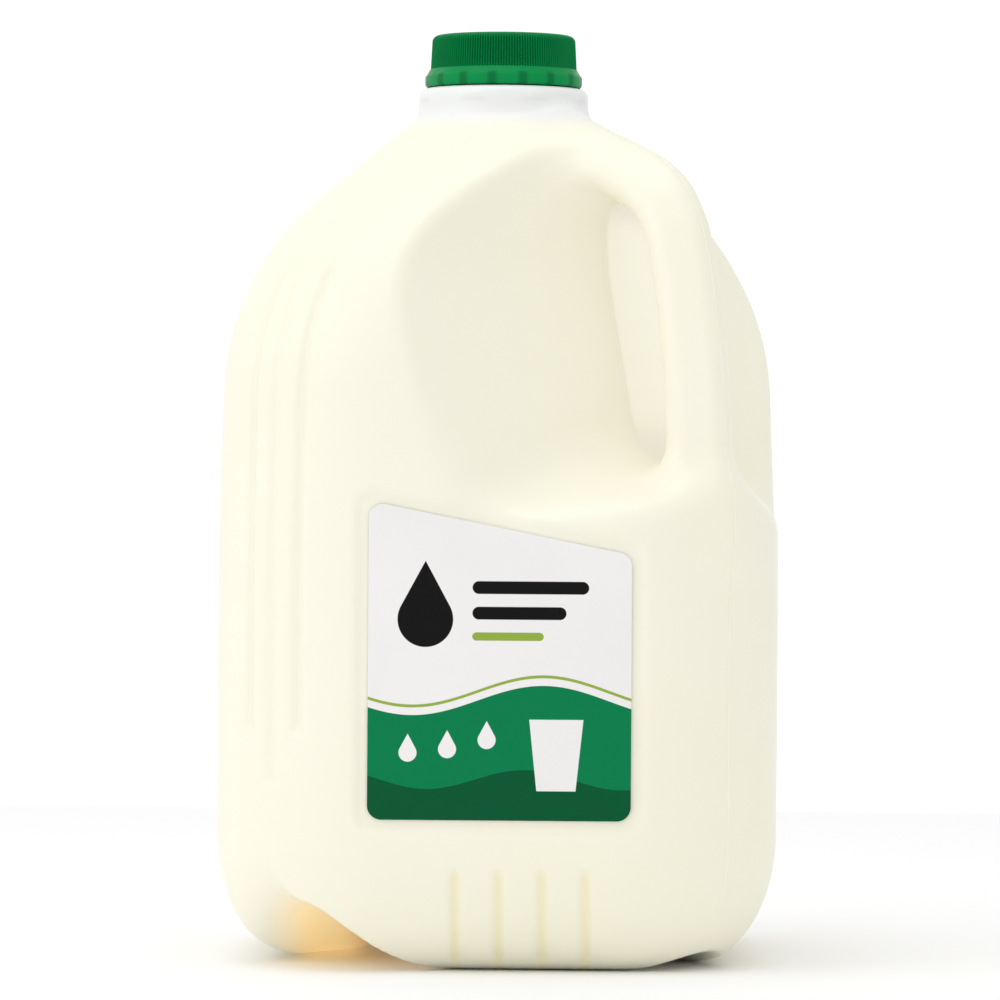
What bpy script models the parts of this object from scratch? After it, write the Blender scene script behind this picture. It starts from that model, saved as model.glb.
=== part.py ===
"""A one-gallon plastic milk jug with its screw cap and its label.

Metres, +Z up. The labelled face looks along -Y and the handle stands on the corner towards
+X and -Y. The origin is under the middle of the jug, on the surface that it stands on.

The jug is blow-moulded, so nearly every edge on it is a soft blend. Its shape is written as
one field, negative inside the plastic and near to the true distance outside, that is put
together from a few solids with smooth unions and cuts. A surface is then drawn over the zero
of that field and reduced to few faces. The cap and the label are ordinary meshes.
"""

import math

import bmesh
import bpy
import numpy as np

# Body of the jug
BODY_HALF_WIDTH = 0.0762
FACE_BULGE = 0.0006
BULGE_SPREAD = 0.62
BULGE_FOOT = (0.0000, 0.0725)
BULGE_HEAD = (0.1242, 0.1791)
CORNER_RADIUS = 0.0466
UPPER_TAPER = 0.00105
TAPER_RANGE = (0.1035, 0.1708)
HEEL_HEIGHT = 0.0352
HEEL_INSET = 0.0228
HEEL_FIELD_FLOOR = 0.05
HEEL_STEEPNESS_FLOOR = 0.5
SHOULDER_START = 0.1547
SHOULDER_RADIUS = 0.0714
SHOULDER_END_ANGLE = math.radians(48.8)

# Neck collar under the cap
COLLAR_RADIUS = 0.0235
COLLAR_TOP = 0.2401
COLLAR_CHAMFER = 0.0013
COLLAR_FOOT = 0.2312
COLLAR_FLARE = 0.0012
COLLAR_FLARE_BEND = 0.3
COLLAR_SINK = 0.0062
COLLAR_SIDES = 72
NECK_CORE = 0.0062
NECK_TOP = 0.2360

# Corner wall behind the handle, measured along the diagonal through the handle
WALL_TOP_REACH = 0.0400
WALL_KNEE_HEIGHT = 0.1904
WALL_KNEE_SOFTNESS = 0.0062
WALL_LEAN = 0.25
WALL_DROP = 0.0126
WALL_DROP_RISE = 0.07
WALL_DROP_WIDTH = 0.0207
WALL_RIDGE_ROUNDING = 0.0031

# Ledge under the handle gap
LEDGE_HEIGHT = 0.1382
LEDGE_REACH = 0.0517
LEDGE_SIDE_FALL = 0.36
LEDGE_OUTWARD_FALL = 0.20
LEDGE_CREST = 0.0083
SCOOP_INNER_BLEND = 0.0103
SCOOP_RIM_BLEND = 0.0050
LEDGE_RIM_BLEND = 0.0083
LEDGE_RIM_RANGE = (0.1330, 0.1650)

# Handle, a rounded square bar whose middle line lies in the diagonal plane
HANDLE_HALF_WIDTH = 0.0090
HANDLE_EDGE_RADIUS = 0.0064
HANDLE_BLEND = 0.0103
HANDLE_INNER_FLAT = 0.0070
HANDLE_ROUTE = (
    (-0.0041, 0.2267),
    (0.0103, 0.2241),
    (0.0207, 0.2200),
    (0.0347, 0.2137),
    (0.0430, 0.2077),
    (0.0467, 0.2010),
    (0.0486, 0.1946),
    (0.0509, 0.1811),
    (0.0529, 0.1625),
    (0.0538, 0.1470),
    (0.0549, 0.1159),
)
HANDLE_STEPS = 8
HANDLE_ZONE_WIDTH = 0.0360
HANDLE_ZONE_FOOT = 0.0980

# Upright grooves on the two plain corners: side offset, width, lowest and highest point
CORNER_GROOVES = (
    (-0.0058, 0.00135, 0.0621, 0.1894),
    (0.0030, 0.00195, 0.0476, 0.2029),
    (0.0118, 0.00135, 0.0621, 0.1904),
)
CORNER_GROOVE_DEPTH = 0.00145
CORNER_GROOVE_REACH = (0.0415, 0.0455)

# Short grooves in the heel of every face
HEEL_GROOVE_COUNT = 4
HEEL_GROOVE_PITCH = 0.0116
HEEL_GROOVE_OFFSET = 0.0072
HEEL_GROOVE_REACH = (0.0465, 0.0520)
HEEL_GROOVE_WIDTH = 0.00135
HEEL_GROOVE_DEPTH = 0.00115
HEEL_GROOVE_TOP = 0.0292
HEEL_GROOVE_FOOT = 0.00105
GROOVE_END_LENGTH = 0.0041

# Underside: arches in the corners and a shallow hollow inside the foot
SIDE_ARCH_HEIGHT = 0.0185
SIDE_ARCH_CREST = 0.0095
SIDE_ARCH_SPREAD = (0.0270, 0.0175)
SIDE_ARCH_EDGES = (0.0120, 0.0026)
SEAM_ARCH_HEIGHT = 0.0047
SEAM_ARCH_CREST = 0.0052
SEAM_ARCH_SPREAD = (0.0155, 0.0155)
SEAM_ARCH_EDGES = (0.00105, 0.00105)
ARCH_EDGE_RANGE = (0.0000, 0.0140)
ARCH_INNER_REACH = 0.0155
ARCH_OUTER_REACH = 0.0725
UNDERSIDE_HALF_WIDTH = 0.0362
UNDERSIDE_CORNER = 0.0207
UNDERSIDE_RISE = 0.0031
UNDERSIDE_BLEND = 0.00155

# Label and the flat panel that it is stuck in
LABEL_LEFT = -0.0337
LABEL_RIGHT = 0.0364
LABEL_BOTTOM = 0.0411
LABEL_TOP_AT_LEFT = 0.1259
LABEL_TOP_SLOPE = -0.20
LABEL_CORNER = 0.00375
LABEL_CORNER_STEPS = 8
LABEL_THICKNESS = 0.00035
LABEL_GAP = 0.00032
PANEL_DEPTH = 0.00085
PANEL_MARGIN = 0.00205
PANEL_BLEND = 0.00105

# Cap
CAP_GAP = 0.0003
BAND_RADIUS = 0.0218
BAND_HEIGHT = 0.0032
CAP_SHOULDER_RISE = 0.0019
CAP_RIB_RADIUS_LOW = 0.0203
CAP_RIB_RADIUS_HIGH = 0.0199
CAP_RIB_DEPTH = 0.0005
CAP_RIB_COUNT = 120
CAP_RIB_HEIGHT = 0.0076
CAP_EDGE_RADIUS = 0.0018
CAP_EDGE_STEPS = 3
CAP_TOP_RISE = 0.0003

# How finely the jug's surface is drawn
FIELD_STEP = 0.0022
FIELD_MARGIN = 0.0050
SLAB_LAYERS = 12
SETTLE_ROUNDS = 3
GRADIENT_STEP = 0.00005
GRADIENT_FLOOR = 0.25
JUG_TRIANGLES = 9000
SMOOTH_ANGLE = math.radians(35)

# Colour and roughness of each finish
JUG_FINISH = ((0.93, 0.91, 0.80), 0.32)
CAP_FINISH = ((0.0, 0.28, 0.06), 0.35)
LABEL_FINISH = ((0.88, 0.87, 0.88), 0.45)

DIAGONAL = math.sqrt(0.5)
PANEL_PLANE = -(BODY_HALF_WIDTH - PANEL_DEPTH)


def clear_scene():
    """Remove every object, so that the script always starts from nothing."""
    for item in list(bpy.data.objects):
        bpy.data.objects.remove(item, do_unlink=True)


def plain_material(name, color, roughness):
    """Make a Principled material of one colour."""
    material = bpy.data.materials.new(name)
    material.use_nodes = True
    shader = material.node_tree.nodes["Principled BSDF"]
    shader.inputs["Base Color"].default_value = (*color, 1.0)
    shader.inputs["Roughness"].default_value = roughness
    shader.inputs["Metallic"].default_value = 0.0
    return material


def add_object(name, mesh, material):
    """Put a mesh in the scene as a named object with its material."""
    mesh.materials.append(material)
    item = bpy.data.objects.new(name, mesh)
    bpy.context.scene.collection.objects.link(item)
    return item


def blend_union(first, second, width):
    """Join two fields with a soft fillet of the given width."""
    share = np.clip(0.5 + 0.5 * (second - first) / width, 0.0, 1.0)
    return second + (first - second) * share - width * share * (1.0 - share)


def blend_common(first, second, width):
    """Keep what two fields share, with a soft outer edge."""
    return -blend_union(-first, -second, width)


def soft_step(value, start, end):
    """Rise smoothly from 0 at start to 1 at end."""
    share = np.clip((value - start) / (end - start), 0.0, 1.0)
    return share * share * (3.0 - 2.0 * share)


def rounded_square(x, y, half_width, corner):
    """Distance in plan to a square with rounded corners."""
    across = np.abs(x) - (half_width - corner)
    along = np.abs(y) - (half_width - corner)
    outside = np.hypot(np.maximum(across, 0.0), np.maximum(along, 0.0))
    return outside + np.minimum(np.maximum(across, along), 0.0) - corner


def body_half_width(z):
    """Half the width of the body at a height above the heel, and its slope there."""
    rise = np.clip((z - SHOULDER_START) / SHOULDER_RADIUS, 0.0, math.sin(SHOULDER_END_ANGLE))
    fall = np.sqrt(1.0 - rise**2)
    slope = rise / fall
    cone_start = SHOULDER_START + SHOULDER_RADIUS * math.sin(SHOULDER_END_ANGLE)
    cone = np.maximum(z - cone_start, 0.0)
    width = BODY_HALF_WIDTH - SHOULDER_RADIUS * (1.0 - fall) - cone * math.tan(SHOULDER_END_ANGLE)
    width = width - UPPER_TAPER * soft_step(z, *TAPER_RANGE)
    return np.maximum(width, NECK_CORE), slope


def round_heel(side, z):
    """Join the side of the body to the flat underside by a quarter of an ellipse."""
    across = np.maximum(side + HEEL_INSET, 0.0) / HEEL_INSET
    down = np.maximum(HEEL_HEIGHT - z, 0.0) / HEEL_HEIGHT
    size = np.maximum(np.hypot(across, down), HEEL_FIELD_FLOOR)
    steepness = np.hypot(across / HEEL_INSET, down / HEEL_HEIGHT) / size
    return (size - 1.0) / np.maximum(steepness, HEEL_STEEPNESS_FLOOR / HEEL_HEIGHT)


def full_body(x, y, z):
    """Rounded square body with a domed shoulder, before anything is cut from it."""
    width, slope = body_half_width(z)
    share = np.clip((width - COLLAR_RADIUS) / (BODY_HALF_WIDTH - COLLAR_RADIUS), 0.0, 1.0)
    corner = COLLAR_RADIUS + (CORNER_RADIUS - COLLAR_RADIUS) * share
    corner = np.minimum(corner, width)
    sideways = np.minimum(np.abs(x), np.abs(y)) / (BULGE_SPREAD * BODY_HALF_WIDTH)
    bulge = np.clip(1.0 - sideways**2, 0.0, 1.0) ** 2
    bulge = bulge * soft_step(z, *BULGE_FOOT) * (1.0 - soft_step(z, *BULGE_HEAD))
    field = rounded_square(x, y, width, corner) / np.sqrt(1.0 + slope**2) - FACE_BULGE * bulge
    field = np.where(z < SHOULDER_START, round_heel(field, z), field)
    return np.maximum(field, z - NECK_TOP)


def corner_wall(along, side, z):
    """Keeps the body inside the wall behind the handle, and all of it under the ledge."""
    below_knee = WALL_KNEE_HEIGHT - z
    ridge = WALL_TOP_REACH + WALL_LEAN * 0.5 * (below_knee + np.hypot(below_knee, WALL_KNEE_SOFTNESS))
    off_ridge = np.hypot(side, WALL_RIDGE_ROUNDING) - WALL_RIDGE_ROUNDING
    drop = WALL_DROP - WALL_DROP_RISE * below_knee
    reach = ridge - drop * (1.0 - np.exp(-off_ridge / WALL_DROP_WIDTH))
    wall = (along - reach) / math.hypot(1.0, WALL_LEAN)
    off_crest = np.hypot(side, LEDGE_CREST) - LEDGE_CREST
    ledge_top = LEDGE_HEIGHT - LEDGE_SIDE_FALL * off_crest - LEDGE_OUTWARD_FALL * (along - LEDGE_REACH)
    ledge = (z - ledge_top) / math.hypot(1.0, LEDGE_SIDE_FALL, LEDGE_OUTWARD_FALL)
    return blend_union(wall, ledge, SCOOP_INNER_BLEND)


def handle_line():
    """Points of the handle's middle line, as reach along the diagonal and height."""
    knots = np.array(HANDLE_ROUTE) * np.array((math.sqrt(2.0), 1.0))
    ends = np.vstack((2 * knots[0] - knots[1], knots, 2 * knots[-1] - knots[-2]))
    points = []
    for a, b, c, d in zip(ends[:-3], ends[1:-2], ends[2:-1], ends[3:]):
        for step in range(HANDLE_STEPS):
            t = step / HANDLE_STEPS
            cubic = 2 * b + (c - a) * t + (2 * a - 5 * b + 4 * c - d) * t**2
            points.append(0.5 * (cubic + (3 * b - a - 3 * c + d) * t**3))
    points.append(knots[-1])
    return np.array(points)


def handle(along, side, z):
    """Rounded square bar along the handle's middle line, with an edge pointing outwards."""
    line = handle_line()
    best = np.full(along.shape, np.inf)
    offset = np.zeros(along.shape)
    for start, end in zip(line[:-1], line[1:]):
        run = end - start
        length = float(np.hypot(*run))
        run = run / length
        to_along = along - start[0]
        to_z = z - start[1]
        progress = np.clip(to_along * run[0] + to_z * run[1], 0.0, length)
        distance = np.hypot(to_along - progress * run[0], to_z - progress * run[1])
        outward = to_z * run[0] - to_along * run[1]
        closer = distance < best
        best = np.where(closer, distance, best)
        offset = np.where(closer, np.sign(outward) * distance, offset)
    first = (offset + side) * DIAGONAL
    second = (offset - side) * DIAGONAL
    bar = rounded_square(first, second, HANDLE_HALF_WIDTH, HANDLE_EDGE_RADIUS)
    return blend_common(bar, -offset - HANDLE_INNER_FLAT, HANDLE_EDGE_RADIUS)


def groove(distance, width, z, low, high):
    """Depth share of a groove with soft ends, from its sideways distance and the height."""
    ends = soft_step(z, low, low + GROOVE_END_LENGTH) * (1.0 - soft_step(z, high - GROOVE_END_LENGTH, high))
    return np.exp(-((distance / width) ** 2)) * ends


def groove_depth(x, y, z):
    """How far the grooves on the plain corners and the heel press the surface in."""
    depth = np.zeros(x.shape)
    outward = np.abs(x + y) * DIAGONAL
    on_corner = soft_step(outward, *CORNER_GROOVE_REACH)
    side = (x - y) * DIAGONAL
    for offset, width, low, high in CORNER_GROOVES:
        depth = depth + CORNER_GROOVE_DEPTH * on_corner * groove(side - offset, width, z, low, high)
    for number in range(HEEL_GROOVE_COUNT):
        place = HEEL_GROOVE_OFFSET + HEEL_GROOVE_PITCH * (number - (HEEL_GROOVE_COUNT - 1) / 2)
        for across, outside in ((x, -y), (-x, y), (-y, x), (y, -x)):
            on_face = soft_step(outside, *HEEL_GROOVE_REACH)
            mark = groove(across - place, HEEL_GROOVE_WIDTH, z, HEEL_GROOVE_FOOT, HEEL_GROOVE_TOP)
            depth = depth + HEEL_GROOVE_DEPTH * on_face * mark
    return depth


def arch(outward, side, z, height, crest, spread, edges):
    """Arched channel under a corner, positive outside it, and how softly its edges are rounded."""
    reach = np.clip((outward - ARCH_INNER_REACH) / (ARCH_OUTER_REACH - ARCH_INNER_REACH), 0.0, 1.0)
    top = UNDERSIDE_RISE + (height - UNDERSIDE_RISE) * reach
    from_crest = side - crest
    half_width = np.where(from_crest < 0.0, *spread)
    roof = top * (1.0 - (from_crest / half_width) ** 2)
    steepness = 2.0 * top * np.abs(from_crest) / half_width**2
    channel = (z - roof) / np.sqrt(1.0 + steepness**2)
    softness = edges[1] + (edges[0] - edges[1]) * soft_step(-from_crest, *ARCH_EDGE_RANGE)
    return np.maximum(channel, ARCH_INNER_REACH - outward), softness


def underside(field, x, y, z):
    """Cut the corner arches and the hollow inside the foot."""
    across = (x + y) * DIAGONAL
    handle_side = (x - y) * DIAGONAL
    side_arch = (SIDE_ARCH_HEIGHT, SIDE_ARCH_CREST, SIDE_ARCH_SPREAD, SIDE_ARCH_EDGES)
    seam_arch = (SEAM_ARCH_HEIGHT, SEAM_ARCH_CREST, SEAM_ARCH_SPREAD, SEAM_ARCH_EDGES)
    for outward, side, sizes in (
        (-across, handle_side, side_arch),
        (across, handle_side, side_arch),
        (handle_side, across, seam_arch),
        (-handle_side, across, seam_arch),
    ):
        channel, softness = arch(outward, side, z, *sizes)
        field = blend_common(field, -channel, softness)
    plan = rounded_square(x, y, UNDERSIDE_HALF_WIDTH, UNDERSIDE_CORNER)
    hollow = blend_common(plan, z - UNDERSIDE_RISE, UNDERSIDE_BLEND)
    return blend_common(field, -hollow, UNDERSIDE_BLEND)


def label_corners(margin=0.0):
    """The label's four corners as x and z, widened on every side by a margin."""
    lean = math.hypot(1.0, LABEL_TOP_SLOPE)
    left = LABEL_LEFT - margin
    right = LABEL_RIGHT + margin
    bottom = LABEL_BOTTOM - margin
    top_left = LABEL_TOP_AT_LEFT + LABEL_TOP_SLOPE * (left - LABEL_LEFT) + margin * lean
    top_right = LABEL_TOP_AT_LEFT + LABEL_TOP_SLOPE * (right - LABEL_LEFT) + margin * lean
    return ((left, bottom), (right, bottom), (right, top_right), (left, top_left))


def label_shape(x, z, margin):
    """Distance in the plane of the front face to the label's outline plus a margin."""
    corners = label_corners(margin - LABEL_CORNER)
    nearest = np.full(np.broadcast(x, z).shape, np.inf)
    inside = np.full(nearest.shape, -np.inf)
    for (ax, az), (bx, bz) in zip(corners, corners[1:] + corners[:1]):
        run_x, run_z = bx - ax, bz - az
        length = math.hypot(run_x, run_z)
        progress = np.clip(((x - ax) * run_x + (z - az) * run_z) / length**2, 0.0, 1.0)
        nearest = np.minimum(nearest, np.hypot(x - ax - progress * run_x, z - az - progress * run_z))
        inside = np.maximum(inside, ((x - ax) * run_z - (z - az) * run_x) / length)
    return np.where(inside < 0.0, inside, nearest) - LABEL_CORNER


def label_panel(field, x, y, z):
    """Cut the flat panel for the label into the front face."""
    recess = np.maximum(label_shape(x, z, PANEL_MARGIN), y - PANEL_PLANE)
    return blend_common(field, -recess, PANEL_BLEND)


def jug_field(x, y, z):
    """The jug up to its neck: body, scooped corner, handle, grooves, panel and underside."""
    along = (x - y) * DIAGONAL
    side = (x + y) * DIAGONAL
    field = full_body(x, y, z) + groove_depth(x, y, z)
    low = 1.0 - soft_step(z, *LEDGE_RIM_RANGE)
    rim_blend = SCOOP_RIM_BLEND + (LEDGE_RIM_BLEND - SCOOP_RIM_BLEND) * low
    field = blend_common(field, corner_wall(along, side, z), rim_blend)
    near_handle = (np.abs(side) < HANDLE_ZONE_WIDTH) & (along > 0.0) & (z > HANDLE_ZONE_FOOT)
    if near_handle.any():
        bar = handle(along[near_handle], side[near_handle], z[near_handle])
        field[near_handle] = blend_union(field[near_handle], bar, HANDLE_BLEND)
    field = label_panel(field, x, y, z)
    return underside(field, x, y, z)


def sample_field(field, axes):
    """Values of a field on a grid, worked out in slabs to save memory."""
    slabs = []
    for start in range(0, len(axes[2]), SLAB_LAYERS):
        heights = axes[2][start : start + SLAB_LAYERS]
        x, y, z = np.meshgrid(axes[0], axes[1], heights, indexing="ij")
        slabs.append(field(x, y, z))
    return np.concatenate(slabs, axis=2)


def shifted(array, axis, amount):
    """A view of a grid with one layer left out at the low or the high end of an axis."""
    cut = [slice(None)] * array.ndim
    cut[axis] = slice(1, None) if amount else slice(None, -1)
    return array[tuple(cut)]


def draw_surface(values, axes):
    """One point in every grid cell that the surface crosses, and a face over every crossed edge."""
    shape = np.array(values.shape) - 1
    total = np.zeros((*shape, 3))
    count = np.zeros(shape)
    steps = [axis[1] - axis[0] for axis in axes]
    crossings = []
    for axis in range(3):
        low, high = shifted(values, axis, 0), shifted(values, axis, 1)
        where = np.argwhere((low < 0.0) != (high < 0.0))
        first = low[tuple(where.T)]
        second = high[tuple(where.T)]
        share = first / (first - second)
        point = np.array([axes[k][where[:, k]] for k in range(3)]).T
        point[:, axis] += share * steps[axis]
        crossings.append((where, first < 0.0))
        others = [k for k in range(3) if k != axis]
        for back_a in (0, 1):
            for back_b in (0, 1):
                cell = where.copy()
                cell[:, others[0]] -= back_a
                cell[:, others[1]] -= back_b
                np.add.at(total, tuple(cell.T), point)
                np.add.at(count, tuple(cell.T), 1)
    used = np.argwhere(count > 0)
    number = np.full(shape, -1)
    number[tuple(used.T)] = np.arange(len(used))
    points = total[tuple(used.T)] / count[tuple(used.T)][:, None]
    faces = []
    for axis, (where, starts_inside) in enumerate(crossings):
        one, two = (axis + 1) % 3, (axis + 2) % 3
        ring = []
        for back_one, back_two in ((0, 0), (1, 0), (1, 1), (0, 1)):
            cell = where.copy()
            cell[:, one] -= back_one
            cell[:, two] -= back_two
            ring.append(number[tuple(cell.T)])
        ring = np.array(ring).T
        faces.append(np.where(starts_inside[:, None], ring, ring[:, ::-1]))
    return points, np.concatenate(faces)


def settle(points, field):
    """Move points straight onto the surface of a field."""
    for _ in range(SETTLE_ROUNDS):
        x, y, z = points.T
        value = field(x, y, z)
        slope = np.empty_like(points)
        for axis in range(3):
            step = np.zeros(3)
            step[axis] = GRADIENT_STEP
            ahead = field(*(points + step).T)
            behind = field(*(points - step).T)
            slope[:, axis] = (ahead - behind) / (2.0 * GRADIENT_STEP)
        steepness = np.maximum((slope**2).sum(axis=1), GRADIENT_FLOOR)
        move = value[:, None] * slope / steepness[:, None]
        points = points - np.clip(move, -FIELD_STEP / 2, FIELD_STEP / 2)
    return points


def build_collar():
    """Turned neck collar, sunk into the shoulder, that is joined to the jug."""
    bend = COLLAR_FLARE_BEND * COLLAR_FLARE
    profile = (
        (COLLAR_RADIUS - COLLAR_SINK, COLLAR_FOOT - COLLAR_SINK),
        (COLLAR_RADIUS + COLLAR_FLARE, COLLAR_FOOT - COLLAR_FLARE),
        (COLLAR_RADIUS + bend, COLLAR_FOOT - bend),
        (COLLAR_RADIUS, COLLAR_FOOT + COLLAR_FLARE),
        (COLLAR_RADIUS, COLLAR_TOP - COLLAR_CHAMFER),
        (COLLAR_RADIUS - COLLAR_CHAMFER, COLLAR_TOP),
    )
    mesh = bmesh.new()
    rings = []
    for radius, height in profile:
        ring = []
        for number in range(COLLAR_SIDES):
            angle = 2.0 * math.pi * number / COLLAR_SIDES
            ring.append(mesh.verts.new((radius * math.cos(angle), radius * math.sin(angle), height)))
        rings.append(ring)
    for lower, upper in zip(rings[:-1], rings[1:]):
        join_rings(mesh, lower, upper)
    mesh.faces.new(list(reversed(rings[0])))
    mesh.faces.new(rings[-1])
    data = bpy.data.meshes.new("collar")
    mesh.to_mesh(data)
    mesh.free()
    item = add_object("collar", data, plain_material("collar_plastic", *JUG_FINISH))
    item.hide_render = True
    item.display_type = "WIRE"
    return item


def build_jug(collar):
    """Draw the surface of the jug and reduce it to few faces."""
    reach = BODY_HALF_WIDTH + FACE_BULGE + FIELD_MARGIN
    across = np.arange(-reach, reach + FIELD_STEP, FIELD_STEP)
    upright = np.arange(-FIELD_MARGIN, NECK_TOP + FIELD_MARGIN, FIELD_STEP)
    axes = (across, across, upright)
    points, faces = draw_surface(sample_field(jug_field, axes), axes)
    points = settle(points, jug_field)
    points[:, 2] = np.maximum(points[:, 2], 0.0)
    mesh = bpy.data.meshes.new("jug")
    mesh.from_pydata(points.tolist(), [], faces.tolist())
    item = add_object("jug", mesh, plain_material("milky_plastic", *JUG_FINISH))
    reduce = item.modifiers.new("few faces", "DECIMATE")
    reduce.decimate_type = "COLLAPSE"
    reduce.ratio = JUG_TRIANGLES / (2.0 * len(faces))
    join = item.modifiers.new("collar", "BOOLEAN")
    join.operation = "UNION"
    join.object = collar
    mesh.shade_smooth()
    mesh.set_sharp_from_angle(angle=SMOOTH_ANGLE)
    return item


def ring_of_points(mesh, radius, height, rib_depth=0.0):
    """A ring of vertices, every second one pulled in by the depth of a rib."""
    ring = []
    for number in range(2 * CAP_RIB_COUNT):
        angle = math.pi * number / CAP_RIB_COUNT
        reach = radius - (rib_depth if number % 2 else 0.0)
        ring.append(mesh.verts.new((reach * math.cos(angle), reach * math.sin(angle), height)))
    return ring


def join_rings(mesh, lower, upper):
    """Bridge two rings of equal length with quads that face outwards."""
    for here in range(len(lower)):
        there = (here + 1) % len(lower)
        mesh.faces.new((lower[here], lower[there], upper[there], upper[here]))


def build_cap():
    """Turned cap: a tamper band, a sloping shoulder, ribs, a round edge and a low crown."""
    low = COLLAR_TOP + CAP_GAP
    band_top = low + BAND_HEIGHT
    rib_low = band_top + CAP_SHOULDER_RISE
    rib_high = rib_low + CAP_RIB_HEIGHT
    edge_middle = CAP_RIB_RADIUS_HIGH - CAP_EDGE_RADIUS
    mesh = bmesh.new()
    rings = [
        ring_of_points(mesh, BAND_RADIUS, low),
        ring_of_points(mesh, BAND_RADIUS, band_top),
        ring_of_points(mesh, CAP_RIB_RADIUS_LOW, rib_low, CAP_RIB_DEPTH),
        ring_of_points(mesh, CAP_RIB_RADIUS_HIGH, rib_high, CAP_RIB_DEPTH),
    ]
    for step in range(1, CAP_EDGE_STEPS + 1):
        angle = 0.5 * math.pi * step / CAP_EDGE_STEPS
        radius = edge_middle + CAP_EDGE_RADIUS * math.cos(angle)
        rings.append(ring_of_points(mesh, radius, rib_high + CAP_EDGE_RADIUS * math.sin(angle)))
    for lower, upper in zip(rings[:-1], rings[1:]):
        join_rings(mesh, lower, upper)
    mesh.faces.new(list(reversed(rings[0])))
    crown = mesh.verts.new((0.0, 0.0, rib_high + CAP_EDGE_RADIUS + CAP_TOP_RISE))
    for here, start in enumerate(rings[-1]):
        mesh.faces.new((start, rings[-1][(here + 1) % len(rings[-1])], crown))
    data = bpy.data.meshes.new("cap")
    mesh.to_mesh(data)
    mesh.free()
    data.shade_smooth()
    data.set_sharp_from_angle(angle=SMOOTH_ANGLE)
    return add_object("cap", data, plain_material("green_plastic", *CAP_FINISH))


def label_outline():
    """The label's outline with round corners, as points that run anticlockwise from the front."""
    corners = label_corners(-LABEL_CORNER)
    points = []
    for index, corner in enumerate(corners):
        before = corners[index - 1]
        after = corners[(index + 1) % len(corners)]
        start = math.atan2(corner[1] - before[1], corner[0] - before[0]) - 0.5 * math.pi
        turn = math.atan2(after[1] - corner[1], after[0] - corner[0]) - 0.5 * math.pi - start
        turn = turn % (2.0 * math.pi)
        for step in range(LABEL_CORNER_STEPS + 1):
            angle = start + turn * step / LABEL_CORNER_STEPS
            points.append((
                corner[0] + LABEL_CORNER * math.cos(angle),
                corner[1] + LABEL_CORNER * math.sin(angle),
            ))
    return points


def build_label():
    """Thin label, set just off the flat panel of the front face."""
    back = PANEL_PLANE - LABEL_GAP
    mesh = bmesh.new()
    outline = [mesh.verts.new((x, back, z)) for x, z in label_outline()]
    face = mesh.faces.new(outline)
    grown = bmesh.ops.extrude_face_region(mesh, geom=[face])["geom"]
    moved = [item for item in grown if isinstance(item, bmesh.types.BMVert)]
    bmesh.ops.translate(mesh, vec=(0.0, -LABEL_THICKNESS, 0.0), verts=moved)
    bmesh.ops.recalc_face_normals(mesh, faces=mesh.faces)
    data = bpy.data.meshes.new("label")
    mesh.to_mesh(data)
    mesh.free()
    return add_object("label", data, plain_material("printed_film", *LABEL_FINISH))


def main():
    """Build the jug, its cap and its label."""
    clear_scene()
    build_jug(build_collar())
    build_cap()
    build_label()


main()
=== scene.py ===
"""Looks of a one-gallon plastic milk jug with a ribbed screw cap and a printed front label.

Metres, +Z up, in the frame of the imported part. The labelled face looks along -Y and the handle
stands on the corner towards +X and -Y. The jug's skin is drawn finely over a field that is
negative inside the plastic, the same way of building as the part's own solid. The cap, the label
and the mould's parting line are ordinary meshes.
"""

from __future__ import annotations

import logging
import math
from dataclasses import dataclass
from enum import Enum
from typing import Callable, Iterable, Sequence

import bmesh
import bpy
import numpy as np
from mathutils import Matrix, Vector

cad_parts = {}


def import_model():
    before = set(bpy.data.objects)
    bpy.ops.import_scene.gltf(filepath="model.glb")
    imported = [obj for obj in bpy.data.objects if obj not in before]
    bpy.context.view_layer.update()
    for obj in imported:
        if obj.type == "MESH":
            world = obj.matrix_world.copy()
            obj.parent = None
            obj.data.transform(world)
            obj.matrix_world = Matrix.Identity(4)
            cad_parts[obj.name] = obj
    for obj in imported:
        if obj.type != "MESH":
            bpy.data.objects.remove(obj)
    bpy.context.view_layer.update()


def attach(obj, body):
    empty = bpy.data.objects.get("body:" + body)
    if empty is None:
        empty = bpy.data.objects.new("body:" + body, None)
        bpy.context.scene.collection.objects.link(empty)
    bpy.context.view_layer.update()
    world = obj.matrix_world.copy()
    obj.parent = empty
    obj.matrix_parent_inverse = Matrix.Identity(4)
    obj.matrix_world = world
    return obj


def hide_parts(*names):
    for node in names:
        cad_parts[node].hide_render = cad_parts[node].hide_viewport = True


Array = np.ndarray
Field = Callable[[Array, Array, Array], Array]

log = logging.getLogger("milk_jug")

BODY = "root"
DIAGONAL = math.sqrt(0.5)
FULL_TURN = 2.0 * math.pi
BLACK = (0.0, 0.0, 0.0, 1.0)
WHITE = (1.0, 1.0, 1.0, 1.0)


class Slot(Enum):
    """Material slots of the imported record."""

    JUG = "jug"
    CAP = "cap"
    LABEL = "label"


def blend_union(first: Array, second: Array, width: float | Array) -> Array:
    """Join two fields with a soft fillet.

    Args:
        first: Values of one field.
        second: Values of the other field.
        width: How far apart the fields are where the fillet starts.

    Returns:
        The joined field.
    """
    share = np.clip(0.5 + 0.5 * (second - first) / width, 0.0, 1.0)
    return second + (first - second) * share - width * share * (1.0 - share)


def blend_common(first: Array, second: Array, width: float | Array) -> Array:
    """Keep what two fields share, with a soft outer edge.

    Args:
        first: Values of one field.
        second: Values of the other field.
        width: How far apart the fields are where the rounding starts.

    Returns:
        The field of the common part.
    """
    return -blend_union(-first, -second, width)


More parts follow.
